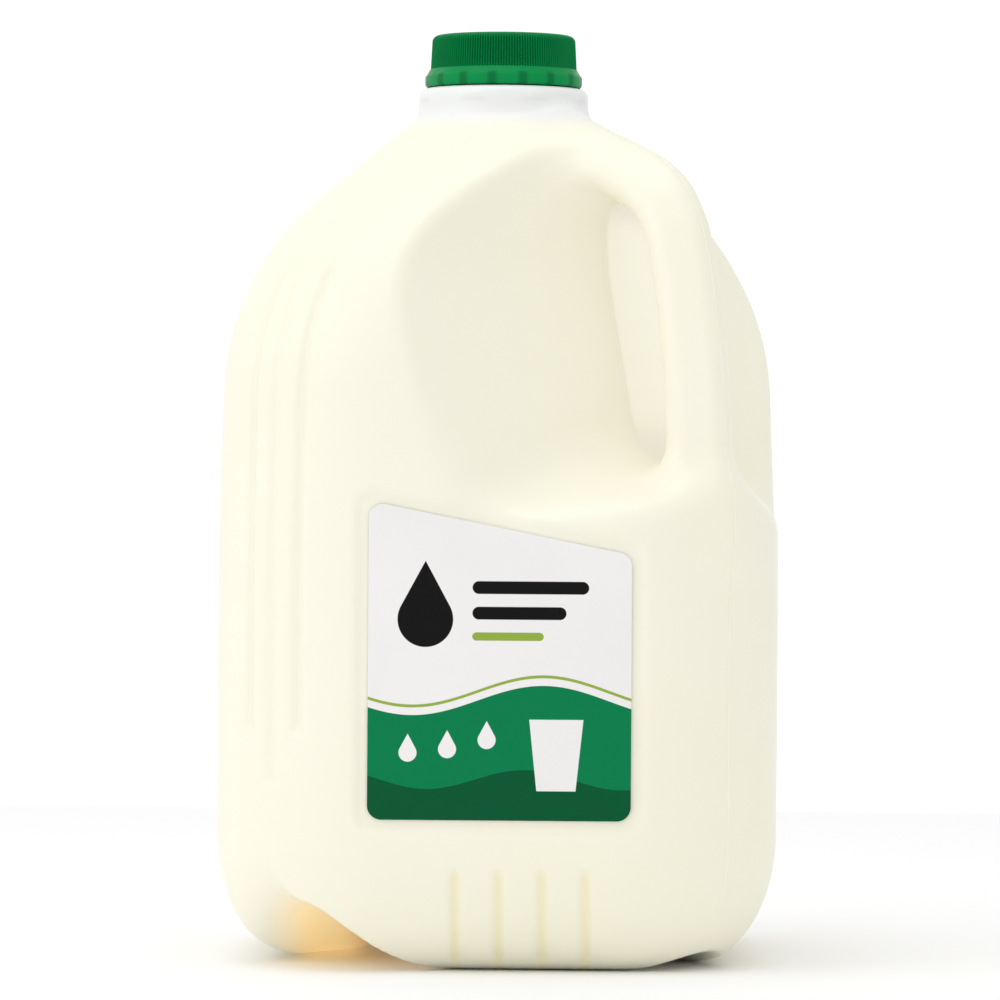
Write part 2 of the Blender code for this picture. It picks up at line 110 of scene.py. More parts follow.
def soft_step(value: Array, start: float, end: float) -> Array:
    """Rise smoothly from 0 at start to 1 at end.

    Args:
        value: What is compared with the two ends.
        start: Where the rise begins.
        end: Where the rise is complete.

    Returns:
        The share of the rise, from 0 to 1.
    """
    share = np.clip((value - start) / (end - start), 0.0, 1.0)
    return share * share * (3.0 - 2.0 * share)


def rounded_square(x: Array, y: Array, half_width: float | Array, corner: float | Array) -> Array:
    """Distance in plan to a square with rounded corners.

    Args:
        x: Coordinates across the square.
        y: Coordinates along the square.
        half_width: Half the width of the square.
        corner: Radius of its corners.

    Returns:
        The distance, negative inside.
    """
    across = np.abs(x) - (half_width - corner)
    along = np.abs(y) - (half_width - corner)
    outside = np.hypot(np.maximum(across, 0.0), np.maximum(along, 0.0))
    return outside + np.minimum(np.maximum(across, along), 0.0) - corner


@dataclass(frozen=True)
class BodyForm:
    """Rounded square body with a domed shoulder and a rounded heel."""

    half_width: float = 0.0762
    face_bulge: float = 0.0006
    bulge_spread: float = 0.62
    bulge_foot: tuple[float, float] = (0.0, 0.0725)
    bulge_head: tuple[float, float] = (0.1242, 0.1791)
    corner_radius: float = 0.0466
    upper_taper: float = 0.00105
    taper_range: tuple[float, float] = (0.1035, 0.1708)
    heel_height: float = 0.0352
    heel_inset: float = 0.0228
    heel_field_floor: float = 0.05
    heel_steepness_floor: float = 0.5
    shoulder_start: float = 0.1547
    shoulder_radius: float = 0.0714
    shoulder_end: float = math.radians(48.8)
    neck_radius: float = 0.0235
    neck_core: float = 0.0062
    neck_top: float = 0.2360

    def width_at(self, z: Array) -> tuple[Array, Array]:
        """Half the width of the body above the heel.

        Args:
            z: Heights.

        Returns:
            Half the width, and the slope of the shoulder, at each height.
        """
        rise = np.clip((z - self.shoulder_start) / self.shoulder_radius, 0.0, math.sin(self.shoulder_end))
        fall = np.sqrt(1.0 - rise**2)
        cone_start = self.shoulder_start + self.shoulder_radius * math.sin(self.shoulder_end)
        cone = np.maximum(z - cone_start, 0.0)
        width = self.half_width - self.shoulder_radius * (1.0 - fall) - cone * math.tan(self.shoulder_end)
        width = width - self.upper_taper * soft_step(z, *self.taper_range)
        return np.maximum(width, self.neck_core), rise / fall

    def heel(self, side: Array, z: Array) -> Array:
        """Join the side of the body to the flat underside by a quarter of an ellipse.

        Args:
            side: Distance to the side of the body.
            z: Heights.

        Returns:
            The field with its rounded heel.
        """
        across = np.maximum(side + self.heel_inset, 0.0) / self.heel_inset
        down = np.maximum(self.heel_height - z, 0.0) / self.heel_height
        size = np.maximum(np.hypot(across, down), self.heel_field_floor)
        steepness = np.hypot(across / self.heel_inset, down / self.heel_height) / size
        return (size - 1.0) / np.maximum(steepness, self.heel_steepness_floor / self.heel_height)

    def field(self, x: Array, y: Array, z: Array) -> Array:
        """Field of the whole body, before anything is cut from it.

        Args:
            x: Coordinates across the front face.
            y: Coordinates towards the back.
            z: Heights.

        Returns:
            The field, negative inside.
        """
        width, slope = self.width_at(z)
        share = np.clip((width - self.neck_radius) / (self.half_width - self.neck_radius), 0.0, 1.0)
        corner = self.neck_radius + (self.corner_radius - self.neck_radius) * share
        corner = np.minimum(corner, width)
        sideways = np.minimum(np.abs(x), np.abs(y)) / (self.bulge_spread * self.half_width)
        bulge = np.clip(1.0 - sideways**2, 0.0, 1.0) ** 2
        bulge = bulge * soft_step(z, *self.bulge_foot) * (1.0 - soft_step(z, *self.bulge_head))
        side = rounded_square(x, y, width, corner) / np.sqrt(1.0 + slope**2) - self.face_bulge * bulge
        side = np.where(z < self.shoulder_start, self.heel(side, z), side)
        return np.maximum(side, z - self.neck_top)


@dataclass(frozen=True)
class NeckCollar:
    """Round collar under the cap, with low oval bosses and a fillet at its foot."""

    radius: float = 0.0235
    top: float = 0.2401
    edge: float = 0.0013
    foot: float = 0.2245
    fillet: float = 0.0022
    boss_height: float = 0.00035
    boss_middle: float = 0.2373
    boss_half_width: float = 0.0042
    boss_half_height: float = 0.0011
    boss_count: int = 8
    boss_turn: float = math.radians(24.0)

    def bosses(self, x: Array, y: Array, z: Array) -> Array:
        """How far the oval bosses stand out.

        Args:
            x: Coordinates across the front face.
            y: Coordinates towards the back.
            z: Heights.

        Returns:
            The height of the bosses over the collar.
        """
        step = FULL_TURN / self.boss_count
        angle = np.arctan2(y, x) - self.boss_turn
        around = (angle - step * np.round(angle / step)) * self.radius
        sideways = around / self.boss_half_width
        upwards = (z - self.boss_middle) / self.boss_half_height
        return self.boss_height * np.exp(-((sideways**2 + upwards**2) ** 2))

    def join(self, body: Array, x: Array, y: Array, z: Array) -> Array:
        """Add the collar to the body.

        Args:
            body: Field of the body.
            x: Coordinates across the front face.
            y: Coordinates towards the back.
            z: Heights.

        Returns:
            The field with the collar.
        """
        wall = np.hypot(x, y) - self.radius - self.bosses(x, y, z)
        collar = blend_common(wall, z - self.top, self.edge * 2.0)
        collar = np.maximum(collar, self.foot - z)
        return blend_union(body, collar, self.fillet)


@dataclass(frozen=True)
class HandCorner:
    """Wall behind the handle and ledge under it, measured along the diagonal through the handle."""

    top_reach: float = 0.0400
    knee_height: float = 0.1904
    knee_softness: float = 0.0062
    lean: float = 0.25
    drop: float = 0.0126
    drop_rise: float = 0.07
    drop_width: float = 0.0207
    ridge_rounding: float = 0.0031
    ledge_height: float = 0.1382
    ledge_reach: float = 0.0517
    ledge_side_fall: float = 0.36
    ledge_outward_fall: float = 0.20
    ledge_crest: float = 0.0083
    inner_blend: float = 0.0103
    rim_blend: float = 0.0024
    ledge_rim_blend: float = 0.0070
    ledge_rim_range: tuple[float, float] = (0.1330, 0.1650)

    def cut(self, body: Array, along: Array, side: Array, z: Array) -> Array:
        """Cut the scooped corner from the body.

        Args:
            body: Field of the body.
            along: Reach along the diagonal towards the handle.
            side: Distance from the diagonal plane.
            z: Heights.

        Returns:
            The field with the corner cut away.
        """
        below_knee = self.knee_height - z
        soft_knee = 0.5 * (below_knee + np.hypot(below_knee, self.knee_softness))
        ridge = self.top_reach + self.lean * soft_knee
        off_ridge = np.hypot(side, self.ridge_rounding) - self.ridge_rounding
        drop = self.drop - self.drop_rise * below_knee
        reach = ridge - drop * (1.0 - np.exp(-off_ridge / self.drop_width))
        wall = (along - reach) / math.hypot(1.0, self.lean)
        off_crest = np.hypot(side, self.ledge_crest) - self.ledge_crest
        outward_fall = self.ledge_outward_fall * (along - self.ledge_reach)
        ledge_top = self.ledge_height - self.ledge_side_fall * off_crest - outward_fall
        ledge = (z - ledge_top) / math.hypot(1.0, self.ledge_side_fall, self.ledge_outward_fall)
        keep = blend_union(wall, ledge, self.inner_blend)
        low = 1.0 - soft_step(z, *self.ledge_rim_range)
        rim = self.rim_blend + (self.ledge_rim_blend - self.rim_blend) * low
        return blend_common(body, keep, rim)


@dataclass(frozen=True)
class Handle:
    """Rounded square bar whose middle line lies in the diagonal plane, one edge outwards."""

    half_width: float = 0.0090
    edge_radius: float = 0.0064
    blend: float = 0.0103
    inner_flat: float = 0.0070
    route: tuple[tuple[float, float], ...] = (
        (-0.0041, 0.2267),
        (0.0103, 0.2241),
        (0.0207, 0.2200),
        (0.0347, 0.2137),
        (0.0430, 0.2077),
        (0.0467, 0.2010),
        (0.0486, 0.1946),
        (0.0509, 0.1811),
        (0.0529, 0.1625),
        (0.0538, 0.1470),
        (0.0549, 0.1159),
    )
    steps: int = 8
    zone_width: float = 0.0360
    zone_foot: float = 0.0980

    def line(self) -> Array:
        """Points of the middle line, as reach along the diagonal and height."""
        knots = np.array(self.route) * np.array((math.sqrt(2.0), 1.0))
        ends = np.vstack((2 * knots[0] - knots[1], knots, 2 * knots[-1] - knots[-2]))
        points = []
        for a, b, c, d in zip(ends[:-3], ends[1:-2], ends[2:-1], ends[3:]):
            for step in range(self.steps):
                t = step / self.steps
                cubic = 2 * b + (c - a) * t + (2 * a - 5 * b + 4 * c - d) * t**2
                points.append(0.5 * (cubic + (3 * b - a - 3 * c + d) * t**3))
        points.append(knots[-1])
        return np.array(points)

    def bar(self, along: Array, side: Array, z: Array) -> Array:
        """Field of the bar.

        Args:
            along: Reach along the diagonal towards the handle.
            side: Distance from the diagonal plane.
            z: Heights.

        Returns:
            The field, negative inside the bar.
        """
        line = self.line()
        best = np.full(along.shape, np.inf)
        offset = np.zeros(along.shape)
        for start, end in zip(line[:-1], line[1:]):
            run = end - start
            length = float(np.hypot(*run))
            run = run / length
            to_along = along - start[0]
            to_z = z - start[1]
            progress = np.clip(to_along * run[0] + to_z * run[1], 0.0, length)
            distance = np.hypot(to_along - progress * run[0], to_z - progress * run[1])
            outward = to_z * run[0] - to_along * run[1]
            closer = distance < best
            best = np.where(closer, distance, best)
            offset = np.where(closer, np.sign(outward) * distance, offset)
        first = (offset + side) * DIAGONAL
        second = (offset - side) * DIAGONAL
        bar = rounded_square(first, second, self.half_width, self.edge_radius)
        return blend_common(bar, -offset - self.inner_flat, self.edge_radius)

    def join(self, body: Array, along: Array, side: Array, z: Array) -> Array:
        """Add the handle to the body.

        Args:
            body: Field of the body.
            along: Reach along the diagonal towards the handle.
            side: Distance from the diagonal plane.
            z: Heights.

        Returns:
            The field with the handle.
        """
        near = (np.abs(side) < self.zone_width) & (along > 0.0) & (z > self.zone_foot)
        if near.any():
            body = body.copy()
            bar = self.bar(along[near], side[near], z[near])
            body[near] = blend_union(body[near], bar, self.blend)
        return body


@dataclass(frozen=True)
class PressedGrooves:
    """Upright grooves on the two plain corners and short ones in the heel of every face."""

    corner_grooves: tuple[tuple[float, float, float, float], ...] = (
        (-0.0058, 0.00135, 0.0621, 0.1894),
        (0.0030, 0.00195, 0.0476, 0.2029),
        (0.0118, 0.00135, 0.0621, 0.1904),
    )
    corner_depth: float = 0.00120
    corner_reach: tuple[float, float] = (0.0415, 0.0455)
    heel_count: int = 4
    heel_pitch: float = 0.0116
    heel_offset: float = 0.0072
    heel_reach: tuple[float, float] = (0.0465, 0.0520)
    heel_width: float = 0.00145
    heel_depth: float = 0.00090
    heel_top: float = 0.0292
    heel_foot: float = 0.00105
    end_length: float = 0.0041

    def groove(self, distance: Array, width: float, z: Array, low: float, high: float) -> Array:
        """Depth share of one groove with soft ends.

        Args:
            distance: Sideways distance from the groove's middle.
            width: Width of the groove.
            z: Heights.
            low: Height of its lower end.
            high: Height of its upper end.

        Returns:
            The share of the full depth.
        """
        foot = soft_step(z, low, low + self.end_length)
        head = 1.0 - soft_step(z, high - self.end_length, high)
        return np.exp(-((distance / width) ** 2)) * foot * head

    def depth(self, x: Array, y: Array, z: Array) -> Array:
        """How far the grooves press the surface in.

        Args:
            x: Coordinates across the front face.
            y: Coordinates towards the back.
            z: Heights.

        Returns:
            The depth at each point.
        """
        total = np.zeros(x.shape)
        on_corner = soft_step(np.abs(x + y) * DIAGONAL, *self.corner_reach)
        side = (x - y) * DIAGONAL
        for offset, width, low, high in self.corner_grooves:
            mark = self.groove(side - offset, width, z, low, high)
            total = total + self.corner_depth * on_corner * mark
        for number in range(self.heel_count):
            place = self.heel_offset + self.heel_pitch * (number - (self.heel_count - 1) / 2)
            for across, outside in ((x, -y), (-x, y), (-y, x), (y, -x)):
                on_face = soft_step(outside, *self.heel_reach)
                mark = self.groove(across - place, self.heel_width, z, self.heel_foot, self.heel_top)
                total = total + self.heel_depth * on_face * mark
        return total


@dataclass(frozen=True)
class ShoulderFold:
    """Faint fold in the front of the shoulder, where the plain corner's flat meets the dome."""

    route: tuple[tuple[float, float], ...] = (
        (-0.0395, 0.2125),
        (-0.0330, 0.2160),
        (-0.0262, 0.2163),
        (-0.0168, 0.2210),
        (-0.0082, 0.2262),
        (-0.0025, 0.2285),
    )
    depth: float = 0.00080
    width: float = 0.0016
    fade_in: tuple[float, float] = (-0.0400, -0.0320)
    fade_out: tuple[float, float] = (-0.0120, -0.0030)
    zone_foot: float = 0.2080
    zone_side: float = -0.0450

    def mark(self, x: Array, y: Array, z: Array) -> Array:
        """How far the fold lies under the dome.

        Args:
            x: Coordinates across the front face.
            y: Coordinates towards the back.
            z: Heights.

        Returns:
            The depth at each point.
        """
        result = np.zeros(x.shape)
        near = (y < 0.0) & (z > self.zone_foot) & (x > self.zone_side) & (x < -self.route[-1][0])
        if near.any():
            distance = np.full(int(near.sum()), np.inf)
            for (ax, az), (bx, bz) in zip(self.route[:-1], self.route[1:]):
                run_x, run_z = bx - ax, bz - az
                progress = ((x[near] - ax) * run_x + (z[near] - az) * run_z) / (run_x**2 + run_z**2)
                progress = np.clip(progress, 0.0, 1.0)
                gap = np.hypot(x[near] - ax - progress * run_x, z[near] - az - progress * run_z)
                distance = np.minimum(distance, gap)
            fade = soft_step(x[near], *self.fade_in) * (1.0 - soft_step(x[near], *self.fade_out))
            result[near] = self.depth * fade * np.exp(-((distance / self.width) ** 2))
        return result


@dataclass(frozen=True)
class Arch:
    """Arched channel under one corner, deepest at the outside."""

    height: float
    crest: float
    spread: tuple[float, float]
    edges: tuple[float, float]
    base: float = 0.0031
    inner_reach: float = 0.0155
    outer_reach: float = 0.0725
    edge_range: tuple[float, float] = (0.0, 0.0140)

    def cut(self, body: Array, outward: Array, side: Array, z: Array) -> Array:
        """Cut the channel from the body.

        Args:
            body: Field of the body.
            outward: Reach from the middle towards the corner.
            side: Distance sideways from that line.
            z: Heights.

        Returns:
            The field with the channel cut out.
        """
        run = self.outer_reach - self.inner_reach
        reach = np.clip((outward - self.inner_reach) / run, 0.0, 1.0)
        top = self.base + (self.height - self.base) * reach
        from_crest = side - self.crest
        half_width = np.where(from_crest < 0.0, *self.spread)
        roof = top * (1.0 - (from_crest / half_width) ** 2)
        steepness = 2.0 * top * np.abs(from_crest) / half_width**2
        channel = np.maximum((z - roof) / np.sqrt(1.0 + steepness**2), self.inner_reach - outward)
        left_edge, right_edge = self.edges
        softness = right_edge + (left_edge - right_edge) * soft_step(-from_crest, *self.edge_range)
        return blend_common(body, -channel, softness)


@dataclass(frozen=True)
class Underside:
    """Arches under the corners and a shallow hollow inside the foot."""

    side_arch: Arch = Arch(
        height=0.0185,
        crest=0.0095,
        spread=(0.0235, 0.0175),
        edges=(0.0150, 0.0022),
        edge_range=(-0.0020, 0.0080),
    )
    seam_arch: Arch = Arch(height=0.0047, crest=0.0052, spread=(0.0155, 0.0155), edges=(0.00105, 0.00105))
    half_width: float = 0.0362
    corner: float = 0.0207
    rise: float = 0.0031
    blend: float = 0.00155

    def cut(self, body: Array, x: Array, y: Array, z: Array) -> Array:
        """Cut the arches and the hollow from the body.

        Args:
            body: Field of the body.
            x: Coordinates across the front face.
            y: Coordinates towards the back.
            z: Heights.

        Returns:
            The field with its underside.
        """
        across = (x + y) * DIAGONAL
        handle_side = (x - y) * DIAGONAL
        body = self.side_arch.cut(body, -across, handle_side, z)
        body = self.side_arch.cut(body, across, handle_side, z)
        body = self.seam_arch.cut(body, handle_side, across, z)
        body = self.seam_arch.cut(body, -handle_side, across, z)
        plan = rounded_square(x, y, self.half_width, self.corner)
        hollow = blend_common(plan, z - self.rise, self.blend)
        return blend_common(body, -hollow, self.blend)


@dataclass(frozen=True)
class LabelPlace:
    """Outline of the front label and the flat panel that it is stuck in."""

    left: float = -0.0337
    right: float = 0.0364
    bottom: float = 0.0411
    top_at_left: float = 0.1259
    top_slope: float = -0.20
    corner: float = 0.00375
    corner_steps: int = 12
    panel_depth: float = 0.00085
    panel_margin: float = 0.00205
    panel_blend: float = 0.0030
    panel_fillet: float = 0.0016
    face: float = BodyForm.half_width

    @property
    def plane(self) -> float:
        """The panel's place along Y."""
        return -(self.face - self.panel_depth)

    def corners(self, margin: float = 0.0) -> tuple[tuple[float, float], ...]:
        """The outline's four corners as x and z.

        Args:
            margin: How far the outline is widened on every side.

        Returns:
            The corners, anticlockwise as seen from the front.
        """
        lean = math.hypot(1.0, self.top_slope)
        left = self.left - margin
        right = self.right + margin
        low = self.bottom - margin
        top_left = self.top_at_left - self.top_slope * margin + margin * lean
        top_right = self.top_at_left + self.top_slope * (right - self.left) + margin * lean
        return ((left, low), (right, low), (right, top_right), (left, top_left))

    def shape(self, x: Array, z: Array, margin: float) -> Array:
        """Distance in the plane of the front face to the outline.

        Args:
            x: Coordinates across the face.
            z: Heights.
            margin: How far the outline is widened on every side.

        Returns:
            The distance, negative inside.
        """
        corners = self.corners(margin - self.corner)
        nearest = np.full(np.broadcast(x, z).shape, np.inf)
        inside = np.full(nearest.shape, -np.inf)
        for (ax, az), (bx, bz) in zip(corners, corners[1:] + corners[:1]):
            run_x, run_z = bx - ax, bz - az
            length = math.hypot(run_x, run_z)
            progress = np.clip(((x - ax) * run_x + (z - az) * run_z) / length**2, 0.0, 1.0)
            nearest = np.minimum(nearest, np.hypot(x - ax - progress * run_x, z - az - progress * run_z))
            inside = np.maximum(inside, ((x - ax) * run_z - (z - az) * run_x) / length)
        return np.where(inside < 0.0, inside, nearest) - self.corner

    def cut(self, body: Array, x: Array, y: Array, z: Array) -> Array:
        """Cut the flat panel into the front face.

        Args:
            body: Field of the body.
            x: Coordinates across the front face.
            y: Coordinates towards the back.
            z: Heights.

        Returns:
            The field with the panel.
        """
        recess = blend_common(self.shape(x, z, self.panel_margin), y - self.plane, self.panel_fillet)
        return blend_common(body, -recess, self.panel_blend)

    def outline(self, inset: float = 0.0) -> list[tuple[float, float]]:
        """Points of the outline with its round corners.

        Args:
            inset: How far the outline is drawn in on every side.

        Returns:
            The points as x and z, anticlockwise as seen from the front.
        """
        corners = self.corners(-self.corner)
        radius = self.corner - inset
        points = []
        for index, corner in enumerate(corners):
            before = corners[index - 1]
            after = corners[(index + 1) % len(corners)]
            start = math.atan2(corner[1] - before[1], corner[0] - before[0]) - 0.5 * math.pi
            turn = math.atan2(after[1] - corner[1], after[0] - corner[0]) - 0.5 * math.pi - start
            turn = turn % (FULL_TURN)
            for step in range(self.corner_steps + 1):
                angle = start + turn * step / self.corner_steps
                points.append((corner[0] + radius * math.cos(angle), corner[1] + radius * math.sin(angle)))
        return points


class SkinDrawer:
    """Draws a fine closed surface over the zero of a field."""

    def __init__(self, shape: Field, step: float, slab_layers: int = 16) -> None:
        """Keep the field and how finely it is sampled.

        Args:
            shape: The field to draw.
            step: Width of the sampling grid's cells.
            slab_layers: How many layers of the grid are worked out at a time.
        """
        self.shape = shape
        self.step = step
        self.slab_layers = slab_layers
        self.gradient_step = 0.00004
        self.gradient_floor = 0.25
        self.settle_rounds = 3
        self.least_slope = 1e-9

    def sample(self, axes: Sequence[Array]) -> Array:
        """Values of the field on a grid.

        Args:
            axes: The grid's coordinates along X, Y and Z.

        Returns:
            The values, one per grid point.
        """
        slabs = []
        for start in range(0, len(axes[2]), self.slab_layers):
            heights = axes[2][start : start + self.slab_layers]
            x, y, z = np.meshgrid(axes[0], axes[1], heights, indexing="ij")
            slabs.append(self.shape(x, y, z))
        return np.concatenate(slabs, axis=2)

    def trace(self, values: Array, axes: Sequence[Array]) -> tuple[Array, Array]:
        """Find a point in every grid cell that the surface crosses, and a face over every crossed edge.

        Args:
            values: The field's values on the grid.
            axes: The grid's coordinates along X, Y and Z.

        Returns:
            The points, and the faces as four point numbers each.
        """
        cells = np.array(values.shape) - 1
        total = np.zeros((*cells, 3))
        count = np.zeros(cells)
        crossings = []
        for axis in range(3):
            low = np.take(values, range(values.shape[axis] - 1), axis=axis)
            high = np.take(values, range(1, values.shape[axis]), axis=axis)
            where = np.argwhere((low < 0.0) != (high < 0.0))
            first = low[tuple(where.T)]
            second = high[tuple(where.T)]
            point = np.array([axes[k][where[:, k]] for k in range(3)]).T
            point[:, axis] += first / (first - second) * self.step
            crossings.append((where, first < 0.0))
            others = [k for k in range(3) if k != axis]
            for back_a in (0, 1):
                for back_b in (0, 1):
                    cell = where.copy()
                    cell[:, others[0]] -= back_a
                    cell[:, others[1]] -= back_b
                    np.add.at(total, tuple(cell.T), point)
                    np.add.at(count, tuple(cell.T), 1)
        used = np.argwhere(count > 0)
        number = np.full(cells, -1)
        number[tuple(used.T)] = np.arange(len(used))
        points = total[tuple(used.T)] / count[tuple(used.T)][:, None]
        faces = []
        for axis, (where, starts_inside) in enumerate(crossings):
            one, two = (axis + 1) % 3, (axis + 2) % 3
            ring = []
            for back_one, back_two in ((0, 0), (1, 0), (1, 1), (0, 1)):
                cell = where.copy()
                cell[:, one] -= back_one
                cell[:, two] -= back_two
                ring.append(number[tuple(cell.T)])
            quads = np.array(ring).T
            faces.append(np.where(starts_inside[:, None], quads, quads[:, ::-1]))
        return points, np.concatenate(faces)

    def slope(self, points: Array) -> Array:
        """Gradient of the field.

        Args:
            points: Where it is measured.

        Returns:
            One vector per point.
        """
        result = np.empty_like(points)
        for axis in range(3):
            move = np.zeros(3)
            move[axis] = self.gradient_step
            ahead = self.shape(*(points + move).T)
            behind = self.shape(*(points - move).T)
            result[:, axis] = (ahead - behind) / (2.0 * self.gradient_step)
        return result

    def settle(self, points: Array) -> Array:
        """Move points straight onto the surface.

        Args:
            points: Points near the surface.

        Returns:
            The points on the surface.
        """
        for _ in range(self.settle_rounds):
            value = self.shape(*points.T)
            slope = self.slope(points)
            steepness = np.maximum((slope**2).sum(axis=1), self.gradient_floor)
            move = value[:, None] * slope / steepness[:, None]
            points = points - np.clip(move, -self.step / 2, self.step / 2)
        return points

    def draw(self, name: str, axes: Sequence[Array], most_triangles: int) -> bpy.types.Mesh:
        """Draw the surface, thin it out where it is plain, and give it the field's own normals.

        Args:
            name: Name of the mesh.
            axes: The sampling grid's coordinates along X, Y and Z.
            most_triangles: How many triangles are kept.

        Returns:
            The finished mesh.
        """
        points, faces = self.trace(self.sample(axes), axes)
        points = self.settle(points)
        rough = bpy.data.meshes.new(name + "_rough")
        rough.from_pydata(points.tolist(), [], faces.tolist())
        carrier = bpy.data.objects.new(name + "_rough", rough)
        bpy.context.scene.collection.objects.link(carrier)
        thin = carrier.modifiers.new("thin out", "DECIMATE")
        thin.ratio = min(1.0, most_triangles / (2.0 * len(faces)))
        graph = bpy.context.evaluated_depsgraph_get()
        mesh = bpy.data.meshes.new_from_object(carrier.evaluated_get(graph))
        mesh.name = name
        bpy.data.objects.remove(carrier, do_unlink=True)
        bpy.data.meshes.remove(rough)
        self.finish(mesh)
        return mesh

    def finish(self, mesh: bpy.types.Mesh) -> None:
        """Set a mesh's points on the surface again and shade it by the field's gradient.

        Args:
            mesh: The mesh to finish.
        """
        flat = np.empty(len(mesh.vertices) * 3)
        mesh.vertices.foreach_get("co", flat)
        points = self.settle(flat.reshape(-1, 3))
        points[:, 2] = np.maximum(points[:, 2], 0.0)
        mesh.vertices.foreach_set("co", points.ravel())
        mesh.update()
        mesh.shade_smooth()
        slope = self.slope(points)
        steepness = np.linalg.norm(slope, axis=1, keepdims=True)
        normals = slope / np.maximum(steepness, self.least_slope)
        mesh.normals_split_custom_set_from_vertices(normals.tolist())


class NodeBench:
    """Places and links the nodes of one shader tree."""

    def __init__(self, tree: bpy.types.NodeTree) -> None:
        """Keep the tree and empty it.

        Args:
            tree: The node tree to fill.
        """
        self.tree = tree
        self.tree.nodes.clear()

    def put(self, kind: str, **settings: object) -> bpy.types.Node:
        """Add a node.

        Args:
            kind: The node's type.
            settings: Properties to set on it.

        Returns:
            The node.
        """
        node = self.tree.nodes.new(kind)
        for name, value in settings.items():
            setattr(node, name, value)
        return node

    def feed(self, socket: bpy.types.NodeSocket, value: object) -> None:
        """Link a socket into another, or set the other to a constant.

        Args:
            socket: The input to fill.
            value: An output socket, or a plain value.
        """
        if isinstance(value, bpy.types.NodeSocket):
            self.tree.links.new(value, socket)
        else:
            socket.default_value = value

    def math(self, operation: str, *values: object) -> bpy.types.NodeSocket:
        """Work out a number.

        Args:
            operation: Name of the Math node's operation.
            values: Its inputs, as sockets or numbers.

        Returns:
            The result's socket.
        """
        node = self.put("ShaderNodeMath", operation=operation)
        for index, value in enumerate(values):
            self.feed(node.inputs[index], value)
        return node.outputs[0]

    def times(self, first: object, *others: object) -> object:
        """Multiply two or more sockets or numbers."""
        product = first
        for other in others:
            product = self.math("MULTIPLY", product, other)
        return product

    def mix(self, share: object, first: object, second: object) -> bpy.types.NodeSocket:
        """Mix two colours.

        Args:
            share: Share of the second colour.
            first: Colour at 0.
            second: Colour at 1.

        Returns:
            The mixed colour's socket.
        """
        node = self.put("ShaderNodeMix", data_type="RGBA")
        self.feed(node.inputs["Factor"], share)
        self.feed(node.inputs[6], first)
        self.feed(node.inputs[7], second)
        return node.outputs[2]

    def between(
        self,
        value: object,
        low: object,
        high: object,
        to_low: object = 0.0,
        to_high: object = 1.0,
        smooth: bool = True,
    ) -> bpy.types.NodeSocket:
        """Map a range and stop at its ends.

        Args:
            value: What is mapped.
            low: Where the range starts.
            high: Where it ends.
            to_low: Result at its start.
            to_high: Result at its end.
            smooth: Whether the result leaves and reaches its ends softly.

        Returns:
            The result's socket.
        """
        node = self.put("ShaderNodeMapRange", interpolation_type="SMOOTHSTEP" if smooth else "LINEAR")
        self.feed(node.inputs["Value"], value)
        self.feed(node.inputs["From Min"], low)
        self.feed(node.inputs["From Max"], high)
        self.feed(node.inputs["To Min"], to_low)
        self.feed(node.inputs["To Max"], to_high)
        return node.outputs["Result"]

    def noise(self, vector: object, scale: object, detail: float = 3.0) -> bpy.types.NodeSocket:
        """Cloudy noise.

        Args:
            vector: Where it is read.
            scale: Its fineness.
            detail: Its octaves.

        Returns:
            The socket of its value.
        """
        node = self.put("ShaderNodeTexNoise")
        self.feed(node.inputs["Vector"], vector)
        self.feed(node.inputs["Scale"], scale)
        self.feed(node.inputs["Detail"], detail)
        return node.outputs["Fac"]

    def place(self) -> bpy.types.Node:
        """Split position in the part's frame into its coordinates."""
        source = self.put("ShaderNodeTexCoord")
        split = self.put("ShaderNodeSeparateXYZ")
        self.feed(split.inputs[0], source.outputs["Object"])
        return split

    def object_vector(self) -> bpy.types.NodeSocket:
        """Position in the part's frame as a vector."""
        return self.put("ShaderNodeTexCoord").outputs["Object"]


def start_group(
    name: str, inputs: dict[str, str], outputs: dict[str, str]
) -> tuple[NodeBench, bpy.types.Node, bpy.types.Node]:
    """Make a shader node group with named inputs and outputs.

    Args:
        name: Name of the group.
        inputs: Kind of each input, by its name.
        outputs: Kind of each output, by its name.

    Returns:
        The group's bench, its input node and its output node.
    """
    tree = bpy.data.node_groups.new(name, "ShaderNodeTree")
    for direction, sockets in (("INPUT", inputs), ("OUTPUT", outputs)):
        for socket, kind in sockets.items():
            tree.interface.new_socket(name=socket, in_out=direction, socket_type="NodeSocket" + kind)
    bench = NodeBench(tree)
    return bench, bench.put("NodeGroupInput"), bench.put("NodeGroupOutput")


